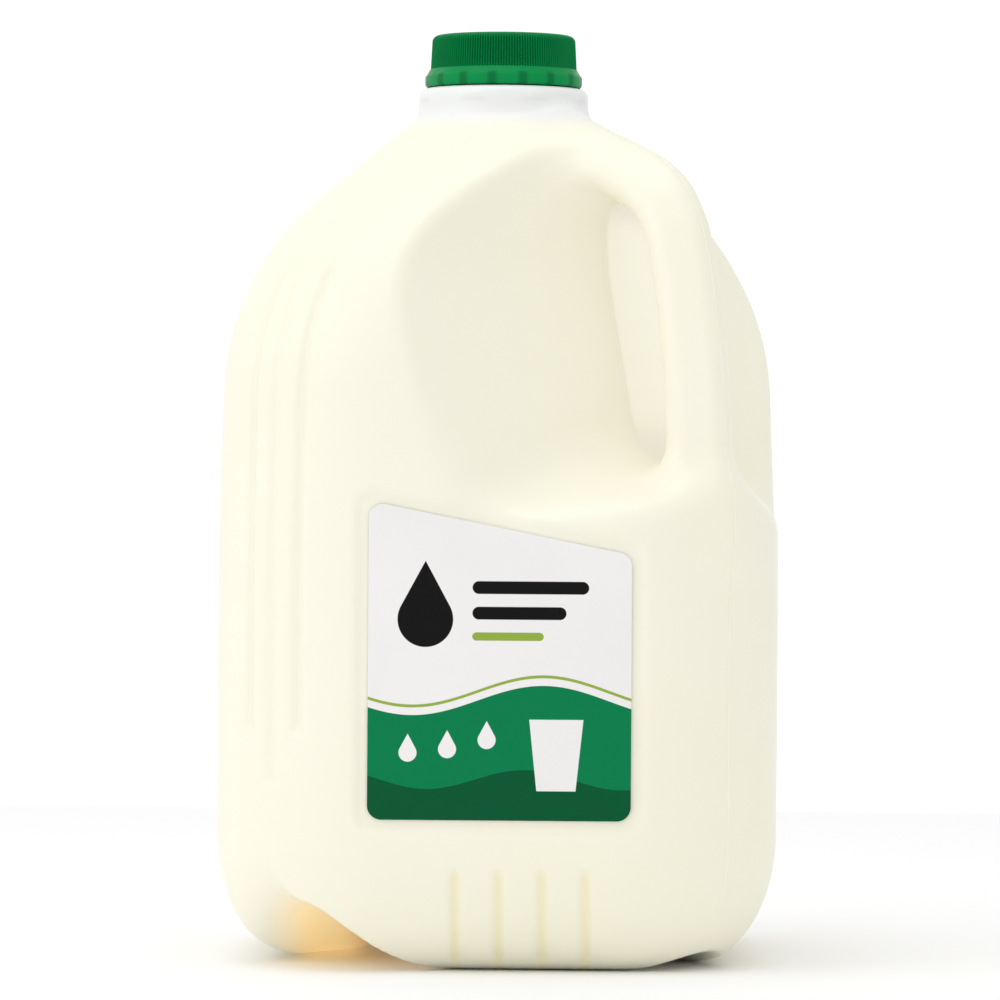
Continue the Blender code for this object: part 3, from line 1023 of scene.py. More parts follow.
class SharedEffects:
    """Shader node groups that more than one finish places with its own values."""

    mottle_range = (0.35, 0.68)
    mottle_detail = 4.0
    skin_detail = 2.0
    grain_share = 0.35
    sheen_range = (0.35, 0.65)

    def __init__(self) -> None:
        """Build the groups once."""
        self.mottle = self.build_mottle()
        self.skin = self.build_skin()

    def build_mottle(self) -> bpy.types.NodeTree:
        """Cloudy tint: a colour that wanders a little between two shades.

        Returns:
            The group.
        """
        inputs = {"Vector": "Vector", "Scale": "Float", "Light": "Color", "Deep": "Color"}
        bench, entry, leave = start_group("cloudy_tint", inputs, {"Color": "Color"})
        cloud = bench.noise(entry.outputs["Vector"], entry.outputs["Scale"], self.mottle_detail)
        share = bench.between(cloud, *self.mottle_range)
        bench.feed(leave.inputs["Color"], bench.mix(share, entry.outputs["Light"], entry.outputs["Deep"]))
        return bench.tree

    def build_skin(self) -> bpy.types.NodeTree:
        """Moulded skin: a fine pebbled height with a slow waviness, and a roughness to go with it.

        Returns:
            The group.
        """
        numbers = {name: "Float" for name in ("Grain", "Wave", "Smoothest", "Roughest")}
        outputs = {"Height": "Float", "Roughness": "Float"}
        bench, entry, leave = start_group("moulded_skin", {"Vector": "Vector", **numbers}, outputs)
        fine = bench.noise(entry.outputs["Vector"], entry.outputs["Grain"], self.skin_detail)
        slow = bench.noise(entry.outputs["Vector"], entry.outputs["Wave"], self.skin_detail)
        bench.feed(leave.inputs["Height"], bench.math("ADD", bench.times(fine, self.grain_share), slow))
        ends = (entry.outputs["Smoothest"], entry.outputs["Roughest"])
        bench.feed(leave.inputs["Roughness"], bench.between(slow, *self.sheen_range, *ends, smooth=False))
        return bench.tree

    def tint(
        self, bench: NodeBench, scale: float, light: Sequence[float], deep: Sequence[float]
    ) -> bpy.types.NodeSocket:
        """Place the cloudy tint in a material.

        Args:
            bench: Where the nodes are placed.
            scale: Fineness of the clouds.
            light: The lighter shade.
            deep: The deeper shade.

        Returns:
            The colour's socket.
        """
        group = bench.put("ShaderNodeGroup", node_tree=self.mottle)
        bench.feed(group.inputs["Vector"], bench.object_vector())
        bench.feed(group.inputs["Scale"], scale)
        bench.feed(group.inputs["Light"], (*light, 1.0))
        bench.feed(group.inputs["Deep"], (*deep, 1.0))
        return group.outputs["Color"]


@dataclass(frozen=True)
class Skin:
    """How a surface's grain, waviness and sheen are placed in its material."""

    grain: float
    wave: float
    smoothest: float
    roughest: float
    bump: float
    bump_distance: float

    def dress(self, effects: SharedEffects, bench: NodeBench, shader: bpy.types.Node) -> None:
        """Give a shader the moulded skin.

        Args:
            effects: The shared node groups.
            bench: Where the nodes are placed.
            shader: The material's shader.
        """
        group = bench.put("ShaderNodeGroup", node_tree=effects.skin)
        bench.feed(group.inputs["Vector"], bench.object_vector())
        bench.feed(group.inputs["Grain"], self.grain)
        bench.feed(group.inputs["Wave"], self.wave)
        bench.feed(group.inputs["Smoothest"], self.smoothest)
        bench.feed(group.inputs["Roughest"], self.roughest)
        bench.feed(shader.inputs["Roughness"], group.outputs["Roughness"])
        bump = bench.put("ShaderNodeBump")
        bench.feed(bump.inputs["Strength"], self.bump)
        bench.feed(bump.inputs["Distance"], self.bump_distance)
        bench.feed(bump.inputs["Height"], group.outputs["Height"])
        bench.feed(shader.inputs["Normal"], bump.outputs["Normal"])


def start_material(name: str) -> tuple[bpy.types.Material, NodeBench, bpy.types.Node]:
    """Make a material that holds one Principled shader.

    Args:
        name: Name of the material.

    Returns:
        The material, its bench, and the shader node.
    """
    material = bpy.data.materials.new(name)
    material.use_nodes = True
    bench = NodeBench(material.node_tree)
    shader = bench.put("ShaderNodeBsdfPrincipled")
    output = bench.put("ShaderNodeOutputMaterial")
    bench.feed(output.inputs["Surface"], shader.outputs["BSDF"])
    return material, bench, shader


@dataclass(frozen=True)
class MilkyPlastic:
    """Blown polyethylene with milk behind it, whiter over the empty neck, with painted glow and shade in the
    underside notches, a painted glow behind the handle and painted shade in the heel grooves.
    """

    effects: SharedEffects
    lit: tuple[float, float, float] = (0.930, 0.906, 0.768)
    deep: tuple[float, float, float] = (0.922, 0.893, 0.735)
    empty: tuple[float, float, float] = (0.850, 0.862, 0.850)
    # Painted light: tan glow in the notches under the plain corners, used in the base colour and the
    # emission.
    tan: tuple[float, float, float] = (0.880, 0.680, 0.360)
    # Painted shade: the notches' colour turns browner and darker further in.
    painted_shade_brown: tuple[float, float, float] = (0.560, 0.330, 0.120)
    fill_range: tuple[float, float] = (0.2270, 0.2330)
    # Painted shade: darker, yellower colour inside the heel grooves.
    painted_groove_shade: tuple[float, float, float] = (0.915, 0.865, 0.610)
    grooves: PressedGrooves = PressedGrooves()
    arch: Arch = Underside().side_arch
    # Painted light: emission that brightens the wall behind the handle, with the heights and reaches of its
    # mask.
    painted_gap_glow: float = 0.11
    gap_heights: tuple[float, float, float, float] = (0.1380, 0.1520, 0.1980, 0.2080)
    gap_reach: tuple[float, float] = (0.0560, 0.0590)
    gap_start: tuple[float, float] = (0.0000, 0.0030)
    gap_end: tuple[float, float] = (0.0340, 0.0460)
    # Painted light in the notches: where its mask starts and ends, where the colour turns browner further in
    # as painted shade, and the glow's strength.
    painted_notch_start: tuple[float, float] = (-0.0630, -0.0490)
    painted_notch_end: tuple[float, float] = (0.0250, 0.0290)
    painted_shade_brown_range: tuple[float, float] = (-0.0430, -0.0310)
    roof_softness: tuple[float, float] = (0.0060, 0.0009)
    painted_notch_glow: float = 0.34
    cloud_scale: float = 9.0
    groove_valley: float = -0.55
    groove_end: float = 0.001
    gap_toward: tuple[float, float] = (0.0, 0.010)
    roof_run: float = 0.004
    refraction: float = 1.5
    skin: Skin = Skin(
        grain=900.0, wave=60.0, smoothest=0.30, roughest=0.40, bump=0.05, bump_distance=0.0006
    )

    def make(self) -> bpy.types.Material:
        """Build the material.

        Returns:
            The finished material.
        """
        material, bench, shader = start_material("milky_plastic")
        place = bench.place()
        x, y, height = place.outputs["X"], place.outputs["Y"], place.outputs["Z"]
        milky = self.effects.tint(bench, self.cloud_scale, self.lit, self.deep)
        across = bench.math("ADD", x, y)
        outward = bench.times(bench.math("ABSOLUTE", across), DIAGONAL)
        side = bench.times(bench.math("SUBTRACT", x, y), DIAGONAL)
        inward = bench.times(bench.math("SUBTRACT", side, outward), DIAGONAL)
        # Painted shade: mask of the darker, yellower heel grooves.
        groove = self.painted_groove_shade_mask(bench, place)
        # Painted light: mask of the glowing notches under the plain corners.
        notch = self.painted_notch_light_mask(bench, height, outward, side, inward)
        # Painted light: mask of the glowing wall behind the handle.
        gap = self.painted_gap_glow_mask(bench, height, side, across)
        # Painted light turning to painted shade: tan glow in the notches, browner further in.
        painted_notch_colour = bench.mix(bench.between(inward, *self.painted_shade_brown_range), (*self.tan, 1.0), (*self.painted_shade_brown, 1.0))
        color = bench.mix(bench.between(height, *self.fill_range), milky, (*self.empty, 1.0))
        # Painted shade in the heel grooves.
        color = bench.mix(groove, color, (*self.painted_groove_shade, 1.0))
        # The notches take the painted glow colour as their base colour.
        bench.feed(shader.inputs["Base Color"], bench.mix(notch, color, painted_notch_colour))
        # Painted glow: emission in the notches and on the wall behind the handle, where no lamp is.
        glow = bench.math("ADD", bench.times(notch, self.painted_notch_glow), bench.times(gap, self.painted_gap_glow))
        painted_glow_colour = bench.mix(notch, milky, painted_notch_colour)
        bench.feed(shader.inputs["Emission Color"], bench.mix(glow, BLACK, painted_glow_colour))
        bench.feed(shader.inputs["Emission Strength"], 1.0)
        bench.feed(shader.inputs["IOR"], self.refraction)
        self.skin.dress(self.effects, bench, shader)
        return material

    def painted_gap_glow_mask(
        self,
        bench: NodeBench,
        height: bpy.types.NodeSocket,
        along: bpy.types.NodeSocket,
        across: bpy.types.NodeSocket,
    ) -> bpy.types.NodeSocket:
        """Mask of the wall behind the handle, where a painted glow stands for light coming through the
        corner.

        Args:
            bench: Where the nodes are placed.
            height: Height over the floor.
            along: Reach along the diagonal towards the handle.
            across: Sum of both plan coordinates, 0 in the handle's plane.

        Returns:
            1 on the wall inside the finger gap and 0 elsewhere.
        """
        low_start, low_end, high_start, high_end = self.gap_heights
        low = bench.between(height, low_start, low_end)
        high = bench.between(height, high_start, high_end, 1.0, 0.0)
        behind = bench.between(along, *self.gap_reach, 1.0, 0.0)
        toward = bench.between(along, *self.gap_toward)
        start = bench.between(across, *self.gap_start)
        end = bench.between(across, *self.gap_end, 1.0, 0.0)
        return bench.times(low, high, behind, toward, start, end)

    def painted_groove_shade_mask(self, bench: NodeBench, place: bpy.types.Node) -> bpy.types.NodeSocket:
        """Mask of the short grooves in the heel, where painted shade makes the colour darker and yellower.

        Args:
            bench: Where the nodes are placed.
            place: The split position.

        Returns:
            1 in the grooves and 0 elsewhere.
        """
        x, y, z = place.outputs["X"], place.outputs["Y"], place.outputs["Z"]
        grooves = self.grooves
        on_front = bench.math("GREATER_THAN", bench.math("ABSOLUTE", y), bench.math("ABSOLUTE", x))
        minus_y = bench.times(y, -1.0)
        front = bench.times(x, bench.math("SIGN", minus_y))
        sideways = bench.times(minus_y, bench.math("SIGN", x))
        difference = bench.math("SUBTRACT", front, sideways)
        across = bench.math("ADD", sideways, bench.times(on_front, difference))
        from_middle = bench.math("SUBTRACT", across, grooves.heel_offset)
        phase = bench.times(from_middle, FULL_TURN / grooves.heel_pitch)
        stripes = bench.between(bench.math("COSINE", phase), -1.0, self.groove_valley, 1.0, 0.0)
        half_run = 0.5 * grooves.heel_pitch * grooves.heel_count
        away = bench.math("ABSOLUTE", from_middle)
        inside = bench.between(away, half_run - self.groove_end, half_run, 1.0, 0.0)
        low = bench.between(z, grooves.heel_top - grooves.end_length, grooves.heel_top, 1.0, 0.0)
        return bench.times(stripes, inside, low)

    def painted_notch_light_mask(
        self,
        bench: NodeBench,
        height: bpy.types.NodeSocket,
        outward: bpy.types.NodeSocket,
        side: bpy.types.NodeSocket,
        inward: bpy.types.NodeSocket,
    ) -> bpy.types.NodeSocket:
        """Mask of the arched notches under the two plain corners, where painted light stands for a tan glow
        through the milk.

        Args:
            bench: Where the nodes are placed.
            height: Height over the floor.
            outward: Reach from the middle towards the notch's corner.
            side: Distance from the line through the two plain corners.
            inward: How far the point lies in from the notch's open end, along the front face.

        Returns:
            1 in the notches' depths and 0 elsewhere.
        """
        arch = self.arch
        rise = (arch.inner_reach, arch.outer_reach, arch.base, arch.height)
        top = bench.between(outward, *rise, smooth=False)
        past_crest = bench.math("MAXIMUM", bench.math("SUBTRACT", side, arch.crest), 0.0)
        share = bench.math("DIVIDE", past_crest, arch.spread[1])
        roof = bench.times(top, bench.math("SUBTRACT", 1.0, bench.times(share, share)))
        softness = bench.between(side, arch.crest - self.roof_run, arch.crest, *self.roof_softness)
        over = bench.math("DIVIDE", bench.math("SUBTRACT", height, roof), softness)
        under_roof = bench.between(over, -1.0, 1.0, 1.0, 0.0)
        start = bench.between(inward, *self.painted_notch_start)
        end = bench.between(side, *self.painted_notch_end, 1.0, 0.0)
        return bench.times(under_roof, start, end)


@dataclass(frozen=True)
class CapPlastic:
    """Green moulded polypropylene with a satin skin, and painted light on its band and sloping shoulder."""

    effects: SharedEffects
    lit: tuple[float, float, float] = (0.0, 0.210, 0.056)
    deep: tuple[float, float, float] = (0.0, 0.175, 0.042)
    shine: float = 0.08
    cloud_scale: float = 40.0
    patch_count: int = 16
    patch_turn: float = math.radians(15.0)
    patch_shade: tuple[float, float, float] = (0.0, 0.135, 0.034)
    # Painted light: the band and sloping shoulder are coloured lighter, as if they caught more light than
    # the ribs.
    band_painted_light: tuple[float, float, float] = (0.002, 0.265, 0.068)
    patch_edge: float = 0.2
    patch_share: float = 0.75
    band_fade: tuple[float, float] = (0.2436, 0.2442)
    painted_light_fade: tuple[float, float] = (0.2453, 0.2457)
    skin: Skin = Skin(
        grain=1800.0, wave=240.0, smoothest=0.28, roughest=0.42, bump=0.08, bump_distance=0.0003
    )

    def make(self) -> bpy.types.Material:
        """Build the material.

        Returns:
            The finished material.
        """
        material, bench, shader = start_material("green_plastic")
        place = bench.place()
        angle = bench.math("ARCTAN2", place.outputs["Y"], place.outputs["X"])
        turn = bench.times(bench.math("SUBTRACT", angle, self.patch_turn), float(self.patch_count))
        patch = bench.between(bench.math("COSINE", turn), self.patch_edge, 1.0, 0.0, self.patch_share)
        # Painted light: 1 on the band and shoulder below the ribs, which get the lighter colour.
        smooth = bench.between(place.outputs["Z"], *self.painted_light_fade, 1.0, 0.0)
        on_band = bench.between(place.outputs["Z"], *self.band_fade, 1.0, 0.0)
        ribbed = self.effects.tint(bench, self.cloud_scale, self.lit, self.deep)
        color = bench.mix(smooth, ribbed, (*self.band_painted_light, 1.0))
        color = bench.mix(bench.times(patch, on_band), color, (*self.patch_shade, 1.0))
        bench.feed(shader.inputs["Base Color"], color)
        bench.feed(shader.inputs["Specular IOR Level"], self.shine)
        self.skin.dress(self.effects, bench, shader)
        return material


@dataclass(frozen=True)
class SeamPlastic:
    """The thin squeezed bead of plastic along the mould's parting line."""

    # Painted highlight: these shades are a little lighter than the jug's, so the bead reads as a faint
    # bright line.
    lit: tuple[float, float, float] = (0.945, 0.922, 0.790)
    deep: tuple[float, float, float] = (0.930, 0.902, 0.745)
    empty: tuple[float, float, float] = (0.870, 0.880, 0.870)
    fill_range: tuple[float, float] = (0.2270, 0.2330)
    cloud_scale: float = 120.0
    cloud_range: tuple[float, float] = (0.35, 0.65)
    roughness: float = 0.35

    def make(self) -> bpy.types.Material:
        """Build the material.

        Returns:
            The finished material.
        """
        material, bench, shader = start_material("seam_plastic")
        cloud = bench.noise(bench.object_vector(), self.cloud_scale)
        shade = bench.between(cloud, *self.cloud_range)
        milky = bench.mix(shade, (*self.lit, 1.0), (*self.deep, 1.0))
        filled = bench.between(bench.place().outputs["Z"], *self.fill_range)
        bench.feed(shader.inputs["Base Color"], bench.mix(filled, milky, (*self.empty, 1.0)))
        bench.feed(shader.inputs["Roughness"], self.roughness)
        return material


class LabelPrint:
    """Draws the label's plain generic print: waves of colour, drops, bars and a tumbler."""

    soft_edge = 0.00008
    tip_height = 2.1

    def __init__(self, bench: NodeBench) -> None:
        """Keep the bench and the part's coordinates."""
        self.bench = bench
        place = bench.place()
        self.x = place.outputs["X"]
        self.z = place.outputs["Z"]

    def inside(self, distance: object) -> object:
        """Turn a distance that is negative inside a shape into the shape's mask."""
        return self.bench.between(distance, -self.soft_edge, self.soft_edge, 1.0, 0.0)

    def moved(self, x: float, z: float) -> tuple[object, object]:
        """Coordinates across and upwards, measured from another point."""
        return self.bench.math("SUBTRACT", self.x, x), self.bench.math("SUBTRACT", self.z, z)

    def from_middle(self, across: object, up: object) -> object:
        """Distance to the point from which two coordinates are measured."""
        bench = self.bench
        squared = bench.math("ADD", bench.times(across, across), bench.times(up, up))
        return bench.math("SQRT", squared)

    def bar(self, x: float, z: float, half_x: float, half_z: float) -> object:
        """Mask of a bar with round ends.

        Args:
            x: Its middle across the label.
            z: Its middle's height.
            half_x: Half its length.
            half_z: Half its height.

        Returns:
            The mask.
        """
        bench = self.bench
        across, up = self.moved(x, z)
        reach = bench.math("SUBTRACT", bench.math("ABSOLUTE", across), half_x - half_z)
        beyond = bench.math("MAXIMUM", reach, 0.0)
        return self.inside(bench.math("SUBTRACT", self.from_middle(beyond, up), half_z))

    def below_wave(self, height: float, swing: float, length: float, phase: float) -> object:
        """Mask of all that lies under a wavy line.

        Args:
            height: Middle height of the line.
            swing: How far it rises and falls.
            length: Length of one wave.
            phase: Where along the wave the label's middle is, in radians.

        Returns:
            The mask.
        """
        bench = self.bench
        angle = bench.math("ADD", bench.times(self.x, FULL_TURN / length), phase)
        line = bench.math("ADD", bench.times(bench.math("SINE", angle), swing), height)
        return self.inside(bench.math("SUBTRACT", self.z, line))

    def drop(self, x: float, z: float, radius: float) -> object:
        """Mask of a falling drop with a pointed top.

        Args:
            x: Its middle across the label.
            z: Height of its round part's middle.
            radius: Radius of its round part.

        Returns:
            The mask.
        """
        bench = self.bench
        across, up = self.moved(x, z)
        ball = self.inside(bench.math("SUBTRACT", self.from_middle(across, up), radius))
        lean = 1.0 / math.sqrt(self.tip_height**2 - 1.0)
        to_tip = bench.math("SUBTRACT", self.tip_height * radius, up)
        width = bench.times(to_tip, lean)
        tip = self.inside(bench.math("SUBTRACT", bench.math("ABSOLUTE", across), width))
        above = self.inside(bench.math("SUBTRACT", radius / self.tip_height, up))
        return bench.math("MAXIMUM", ball, bench.times(tip, above))

    def glass(self, x: float, low: float, high: float, foot: float, rim: float) -> object:
        """Mask of a plain tumbler that widens to its rim.

        Args:
            x: Its middle across the label.
            low: Height of its foot.
            high: Height of its rim.
            foot: Half its width at the foot.
            rim: Half its width at the rim.

        Returns:
            The mask.
        """
        bench = self.bench
        across = bench.math("ABSOLUTE", bench.math("SUBTRACT", self.x, x))
        rise = bench.math("DIVIDE", bench.math("SUBTRACT", self.z, low), high - low)
        width = bench.math("ADD", bench.times(rise, rim - foot), foot)
        sides = self.inside(bench.math("SUBTRACT", across, width))
        over = self.inside(bench.math("SUBTRACT", low, self.z))
        under = self.inside(bench.math("SUBTRACT", self.z, high))
        return bench.times(sides, over, under)


@dataclass(frozen=True)
class PrintedFilm:
    """Satin label film with a plain print in green, white, charcoal and lime."""

    effects: SharedEffects
    white: tuple[float, float, float] = (0.880, 0.862, 0.860)
    paper_deep: tuple[float, float, float] = (0.862, 0.843, 0.838)
    green: tuple[float, float, float] = (0.001, 0.205, 0.072)
    dark_green: tuple[float, float, float] = (0.001, 0.095, 0.032)
    charcoal: tuple[float, float, float] = (0.006, 0.006, 0.006)
    lime: tuple[float, float, float] = (0.290, 0.420, 0.060)
    shine: float = 0.08
    cloud_scale: float = 30.0
    skin: Skin = Skin(
        grain=2200.0, wave=90.0, smoothest=0.38, roughest=0.50, bump=0.08, bump_distance=0.0003
    )
    field_wave: tuple[float, float, float, float] = (0.0730, 0.0040, 0.0700, 0.4)
    hill_wave: tuple[float, float, float, float] = (0.0520, 0.0026, 0.0520, 0.6)
    line_gap: float = 0.0020
    line_width: float = 0.0008
    tumbler: tuple[float, float, float, float, float] = (0.0165, 0.0490, 0.0680, 0.0052, 0.0072)
    large_drop: tuple[float, float, float] = (-0.0185, 0.0945, 0.0074)
    small_drops: tuple[tuple[float, float, float], ...] = (
        (-0.0230, 0.0590, 0.0024),
        (-0.0125, 0.0600, 0.0024),
        (-0.0020, 0.0625, 0.0024),
    )
    charcoal_bars: tuple[tuple[float, float, float, float], ...] = (
        (0.0095, 0.1030, 0.0155, 0.0017),
        (0.0065, 0.0962, 0.0125, 0.0017),
    )
    lime_bar: tuple[float, float, float, float] = (0.0035, 0.0900, 0.0095, 0.0011)

    def make(self) -> bpy.types.Material:
        """Build the material.

        Returns:
            The finished material.
        """
        material, bench, shader = start_material("printed_film")
        art = LabelPrint(bench)
        white = self.effects.tint(bench, self.cloud_scale, self.white, self.paper_deep)
        charcoal, lime = (*self.charcoal, 1.0), (*self.lime, 1.0)
        height, *wave = self.field_wave
        line_low = height + self.line_gap
        under_line = art.below_wave(line_low, *wave)
        line = bench.math("SUBTRACT", art.below_wave(line_low + self.line_width, *wave), under_line)
        color = bench.mix(line, white, lime)
        color = bench.mix(art.below_wave(*self.field_wave), color, (*self.green, 1.0))
        color = bench.mix(art.below_wave(*self.hill_wave), color, (*self.dark_green, 1.0))
        color = bench.mix(art.glass(*self.tumbler), color, white)
        for drop in self.small_drops:
            color = bench.mix(art.drop(*drop), color, white)
        color = bench.mix(art.drop(*self.large_drop), color, charcoal)
        for bar in self.charcoal_bars:
            color = bench.mix(art.bar(*bar), color, charcoal)
        color = bench.mix(art.bar(*self.lime_bar), color, lime)
        bench.feed(shader.inputs["Base Color"], color)
        bench.feed(shader.inputs["Specular IOR Level"], self.shine)
        self.skin.dress(self.effects, bench, shader)
        return material


def add_piece(name: str, mesh: bpy.types.Mesh, material: bpy.types.Material) -> bpy.types.Object:
    """Put a mesh in the scene as a piece of the jug.

    Args:
        name: Name of the piece.
        mesh: Its mesh.
        material: Its material.

    Returns:
        The piece, riding on the part's body.
    """
    mesh.materials.clear()
    mesh.materials.append(material)
    piece = bpy.data.objects.new(name, mesh)
    bpy.context.scene.collection.objects.link(piece)
    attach(piece, BODY)
    log.info("piece %s: %d vertices, %d faces", name, len(mesh.vertices), len(mesh.polygons))
    return piece


def smooth_mesh(name: str, source: bmesh.types.BMesh, crease: float = math.pi) -> bpy.types.Mesh:
    """Turn a bmesh into a smoothly shaded mesh.

    Args:
        name: Name of the mesh.
        source: The bmesh, freed here.
        crease: Angle from which an edge stays crisp.

    Returns:
        The mesh.
    """
    mesh = bpy.data.meshes.new(name)
    source.to_mesh(mesh)
    source.free()
    mesh.shade_smooth()
    if crease < math.pi:
        mesh.set_sharp_from_angle(angle=crease)
    return mesh


def join_rings(mesh: bmesh.types.BMesh, lower: Sequence, upper: Sequence) -> None:
    """Bridge two rings of equal length with quads that face outwards.

    Args:
        mesh: The mesh that holds them.
        lower: Vertices of the lower ring.
        upper: Vertices of the upper ring.
    """
    for here in range(len(lower)):
        there = (here + 1) % len(lower)
        mesh.faces.new((lower[here], lower[there], upper[there], upper[here]))


@dataclass
class BlownJug:
    """The blown body of the jug with its collar, handle, grooves, panel and underside."""

    finish: MilkyPlastic
    body: BodyForm = BodyForm()
    collar: NeckCollar = NeckCollar()
    hand_corner: HandCorner = HandCorner()
    handle: Handle = Handle()
    grooves: PressedGrooves = PressedGrooves()
    fold: ShoulderFold = ShoulderFold()
    underside: Underside = Underside()
    label: LabelPlace = LabelPlace()
    step: float = 0.0012
    margin: float = 0.0030
    most_triangles: int = 190000

    def field(self, x: Array, y: Array, z: Array) -> Array:
        """Field of the whole jug without its cap and label.

        Args:
            x: Coordinates across the front face.
            y: Coordinates towards the back.
            z: Heights.

        Returns:
            The field, negative inside.
        """
        along = (x - y) * DIAGONAL
        side = (x + y) * DIAGONAL
        shape = self.body.field(x, y, z) + self.grooves.depth(x, y, z) + self.fold.mark(x, y, z)
        shape = self.hand_corner.cut(shape, along, side, z)
        shape = self.handle.join(shape, along, side, z)
        shape = self.label.cut(shape, x, y, z)
        shape = self.underside.cut(shape, x, y, z)
        return self.collar.join(shape, x, y, z)

    def build(self) -> bpy.types.Object:
        """Draw the body and dress it.

        Returns:
            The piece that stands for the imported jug.
        """
        reach = self.body.half_width + self.body.face_bulge + self.margin
        across = np.arange(-reach, reach + self.step, self.step)
        upright = np.arange(-self.margin, self.collar.top + self.margin, self.step)
        drawer = SkinDrawer(self.field, self.step)
        mesh = drawer.draw("jug_body", (across, across, upright), self.most_triangles)
        piece = add_piece("jug_body", mesh, self.finish.make())
        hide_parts("jug")
        return piece


@dataclass
class ScrewCap:
    """Green cap: tamper band, sloping shoulder, ribbed skirt, round top edge and low crown."""

    finish: CapPlastic
    low: float = 0.2404
    band_radius: float = 0.0218
    band_height: float = 0.0032
    band_edge: float = 0.0004
    shoulder_rise: float = 0.0019
    rib_radius_low: float = 0.0203
    rib_radius_high: float = 0.0199
    rib_depth: float = 0.00065
    rib_count: int = 168
    rib_points: int = 6
    rib_height: float = 0.0076
    rib_levels: int = 8
    rib_run_out: float = 0.2
    edge_radius: float = 0.0018
    edge_steps: int = 8
    top_rise: float = 0.0003
    foot_profile: tuple[tuple[float, float], ...] = ((1.5, 0.0), (0.4, 1.0), (0.0, 2.5))
    head_profile: tuple[tuple[float, float], ...] = ((0.0, -1.0), (0.3, -0.3), (1.0, 0.3))
    shoulder_end: tuple[float, float] = (0.4, -0.3)
    rib_start: float = 0.5
    rib_sharpness: float = 1.5
    crown_ring: float = 0.5
    crown_ring_rise: float = 0.7
    crease: float = math.radians(40.0)

    def ring(self, mesh: bmesh.types.BMesh, radius: float, height: float, ribs: float = 0.0) -> list:
        """A ring of vertices with rounded ribs.

        Args:
            mesh: Where the vertices go.
            radius: Radius over the ribs.
            height: Height of the ring.
            ribs: Share of the ribs' full depth.

        Returns:
            The vertices.
        """
        result = []
        total = self.rib_count * self.rib_points
        for number in range(total):
            angle = FULL_TURN * number / total
            wave = 0.5 - 0.5 * math.cos(FULL_TURN * number / self.rib_points)
            reach = radius - self.rib_depth * ribs * wave**self.rib_sharpness
            result.append(mesh.verts.new((reach * math.cos(angle), reach * math.sin(angle), height)))
        return result

    def stack(self, mesh: bmesh.types.BMesh, rows: Iterable[tuple[float, float, float]]) -> list:
        """Join rings into a wall.

        Args:
            mesh: Where the wall goes.
            rows: Radius, height and share of the ribs of each ring, from below.

        Returns:
            The first and the last ring.
        """
        rings = [self.ring(mesh, *row) for row in rows]
        for lower, upper in zip(rings[:-1], rings[1:]):
            join_rings(mesh, lower, upper)
        return [rings[0], rings[-1]]

    def rows(self) -> list[tuple[float, float, float]]:
        """Rings of the cap's wall, from the band's foot to the crown's edge."""
        edge = self.band_edge
        band_top = self.low + self.band_height
        rib_low = band_top + self.shoulder_rise
        rib_high = rib_low + self.rib_height
        rows = []
        for height, profile in ((self.low, self.foot_profile), (band_top, self.head_profile)):
            rows += [(self.band_radius - inset * edge, height + rise * edge, 0.0) for inset, rise in profile]
        outset, rise = self.shoulder_end
        rows.append((self.rib_radius_low + outset * edge, rib_low + rise * edge, 0.0))
        for level in range(self.rib_levels + 1):
            share = level / self.rib_levels
            radius = self.rib_radius_low + (self.rib_radius_high - self.rib_radius_low) * share
            ribs = min(1.0, self.rib_start + level)
            rows.append((radius, rib_low + self.rib_height * share, ribs))
        edge_middle = self.rib_radius_high - self.edge_radius
        for step in range(1, self.edge_steps + 1):
            angle = 0.5 * math.pi * step / self.edge_steps
            radius = edge_middle + self.edge_radius * math.cos(angle)
            ribs = max(0.0, 1.0 - self.rib_run_out * step)
            rows.append((radius, rib_high + self.edge_radius * math.sin(angle), ribs))
        return rows

    def build(self) -> bpy.types.Object:
        """Build the cap and dress it.

        Returns:
            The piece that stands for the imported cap.
        """
        mesh = bmesh.new()
        rows = self.rows()
        first, last = self.stack(mesh, rows)
        mesh.faces.new(list(reversed(first)))
        crown_height = rows[-1][1]
        inner_height = crown_height + self.crown_ring_rise * self.top_rise
        inner = self.ring(mesh, self.crown_ring * self.rib_radius_high, inner_height)
        join_rings(mesh, last, inner)
        crown = mesh.verts.new((0.0, 0.0, crown_height + self.top_rise))
        for here, start in enumerate(inner):
            mesh.faces.new((start, inner[(here + 1) % len(inner)], crown))
        data = smooth_mesh("screw_cap", mesh, self.crease)
        piece = add_piece("screw_cap", data, self.finish.make())
        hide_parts("cap")
        return piece


@dataclass
class FrontLabel:
    """Thin printed label with a softly rounded rim, stuck on the flat panel."""

    finish: PrintedFilm
    place: LabelPlace = LabelPlace()
    thickness: float = 0.00032
    rim: float = 0.00018
    rim_steps: int = 4
    glue_gap: float = 0.00002
    crease: float = math.radians(50.0)

    def build(self) -> bpy.types.Object:
        """Build the label and dress it.

        Returns:
            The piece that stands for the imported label.
        """
        back = self.place.plane - self.glue_gap
        front = back - self.thickness
        mesh = bmesh.new()
        rows = [(0.0, back)]
        for step in range(self.rim_steps + 1):
            angle = 0.5 * math.pi * step / self.rim_steps
            inset = self.rim * (1.0 - math.cos(angle))
            rows.append((inset, front + self.rim * (1.0 - math.sin(angle))))
        rings = []
        for inset, depth in rows:
            rings.append([mesh.verts.new((x, depth, z)) for x, z in self.place.outline(inset)])
        for lower, upper in zip(rings[:-1], rings[1:]):
            join_rings(mesh, lower, upper)
        mesh.faces.new(rings[-1])
        mesh.faces.new(list(reversed(rings[0])))
        bmesh.ops.recalc_face_normals(mesh, faces=mesh.faces)
        data = smooth_mesh("front_label", mesh, self.crease)
        piece = add_piece("front_label", data, self.finish.make())
        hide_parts("label")
        return piece


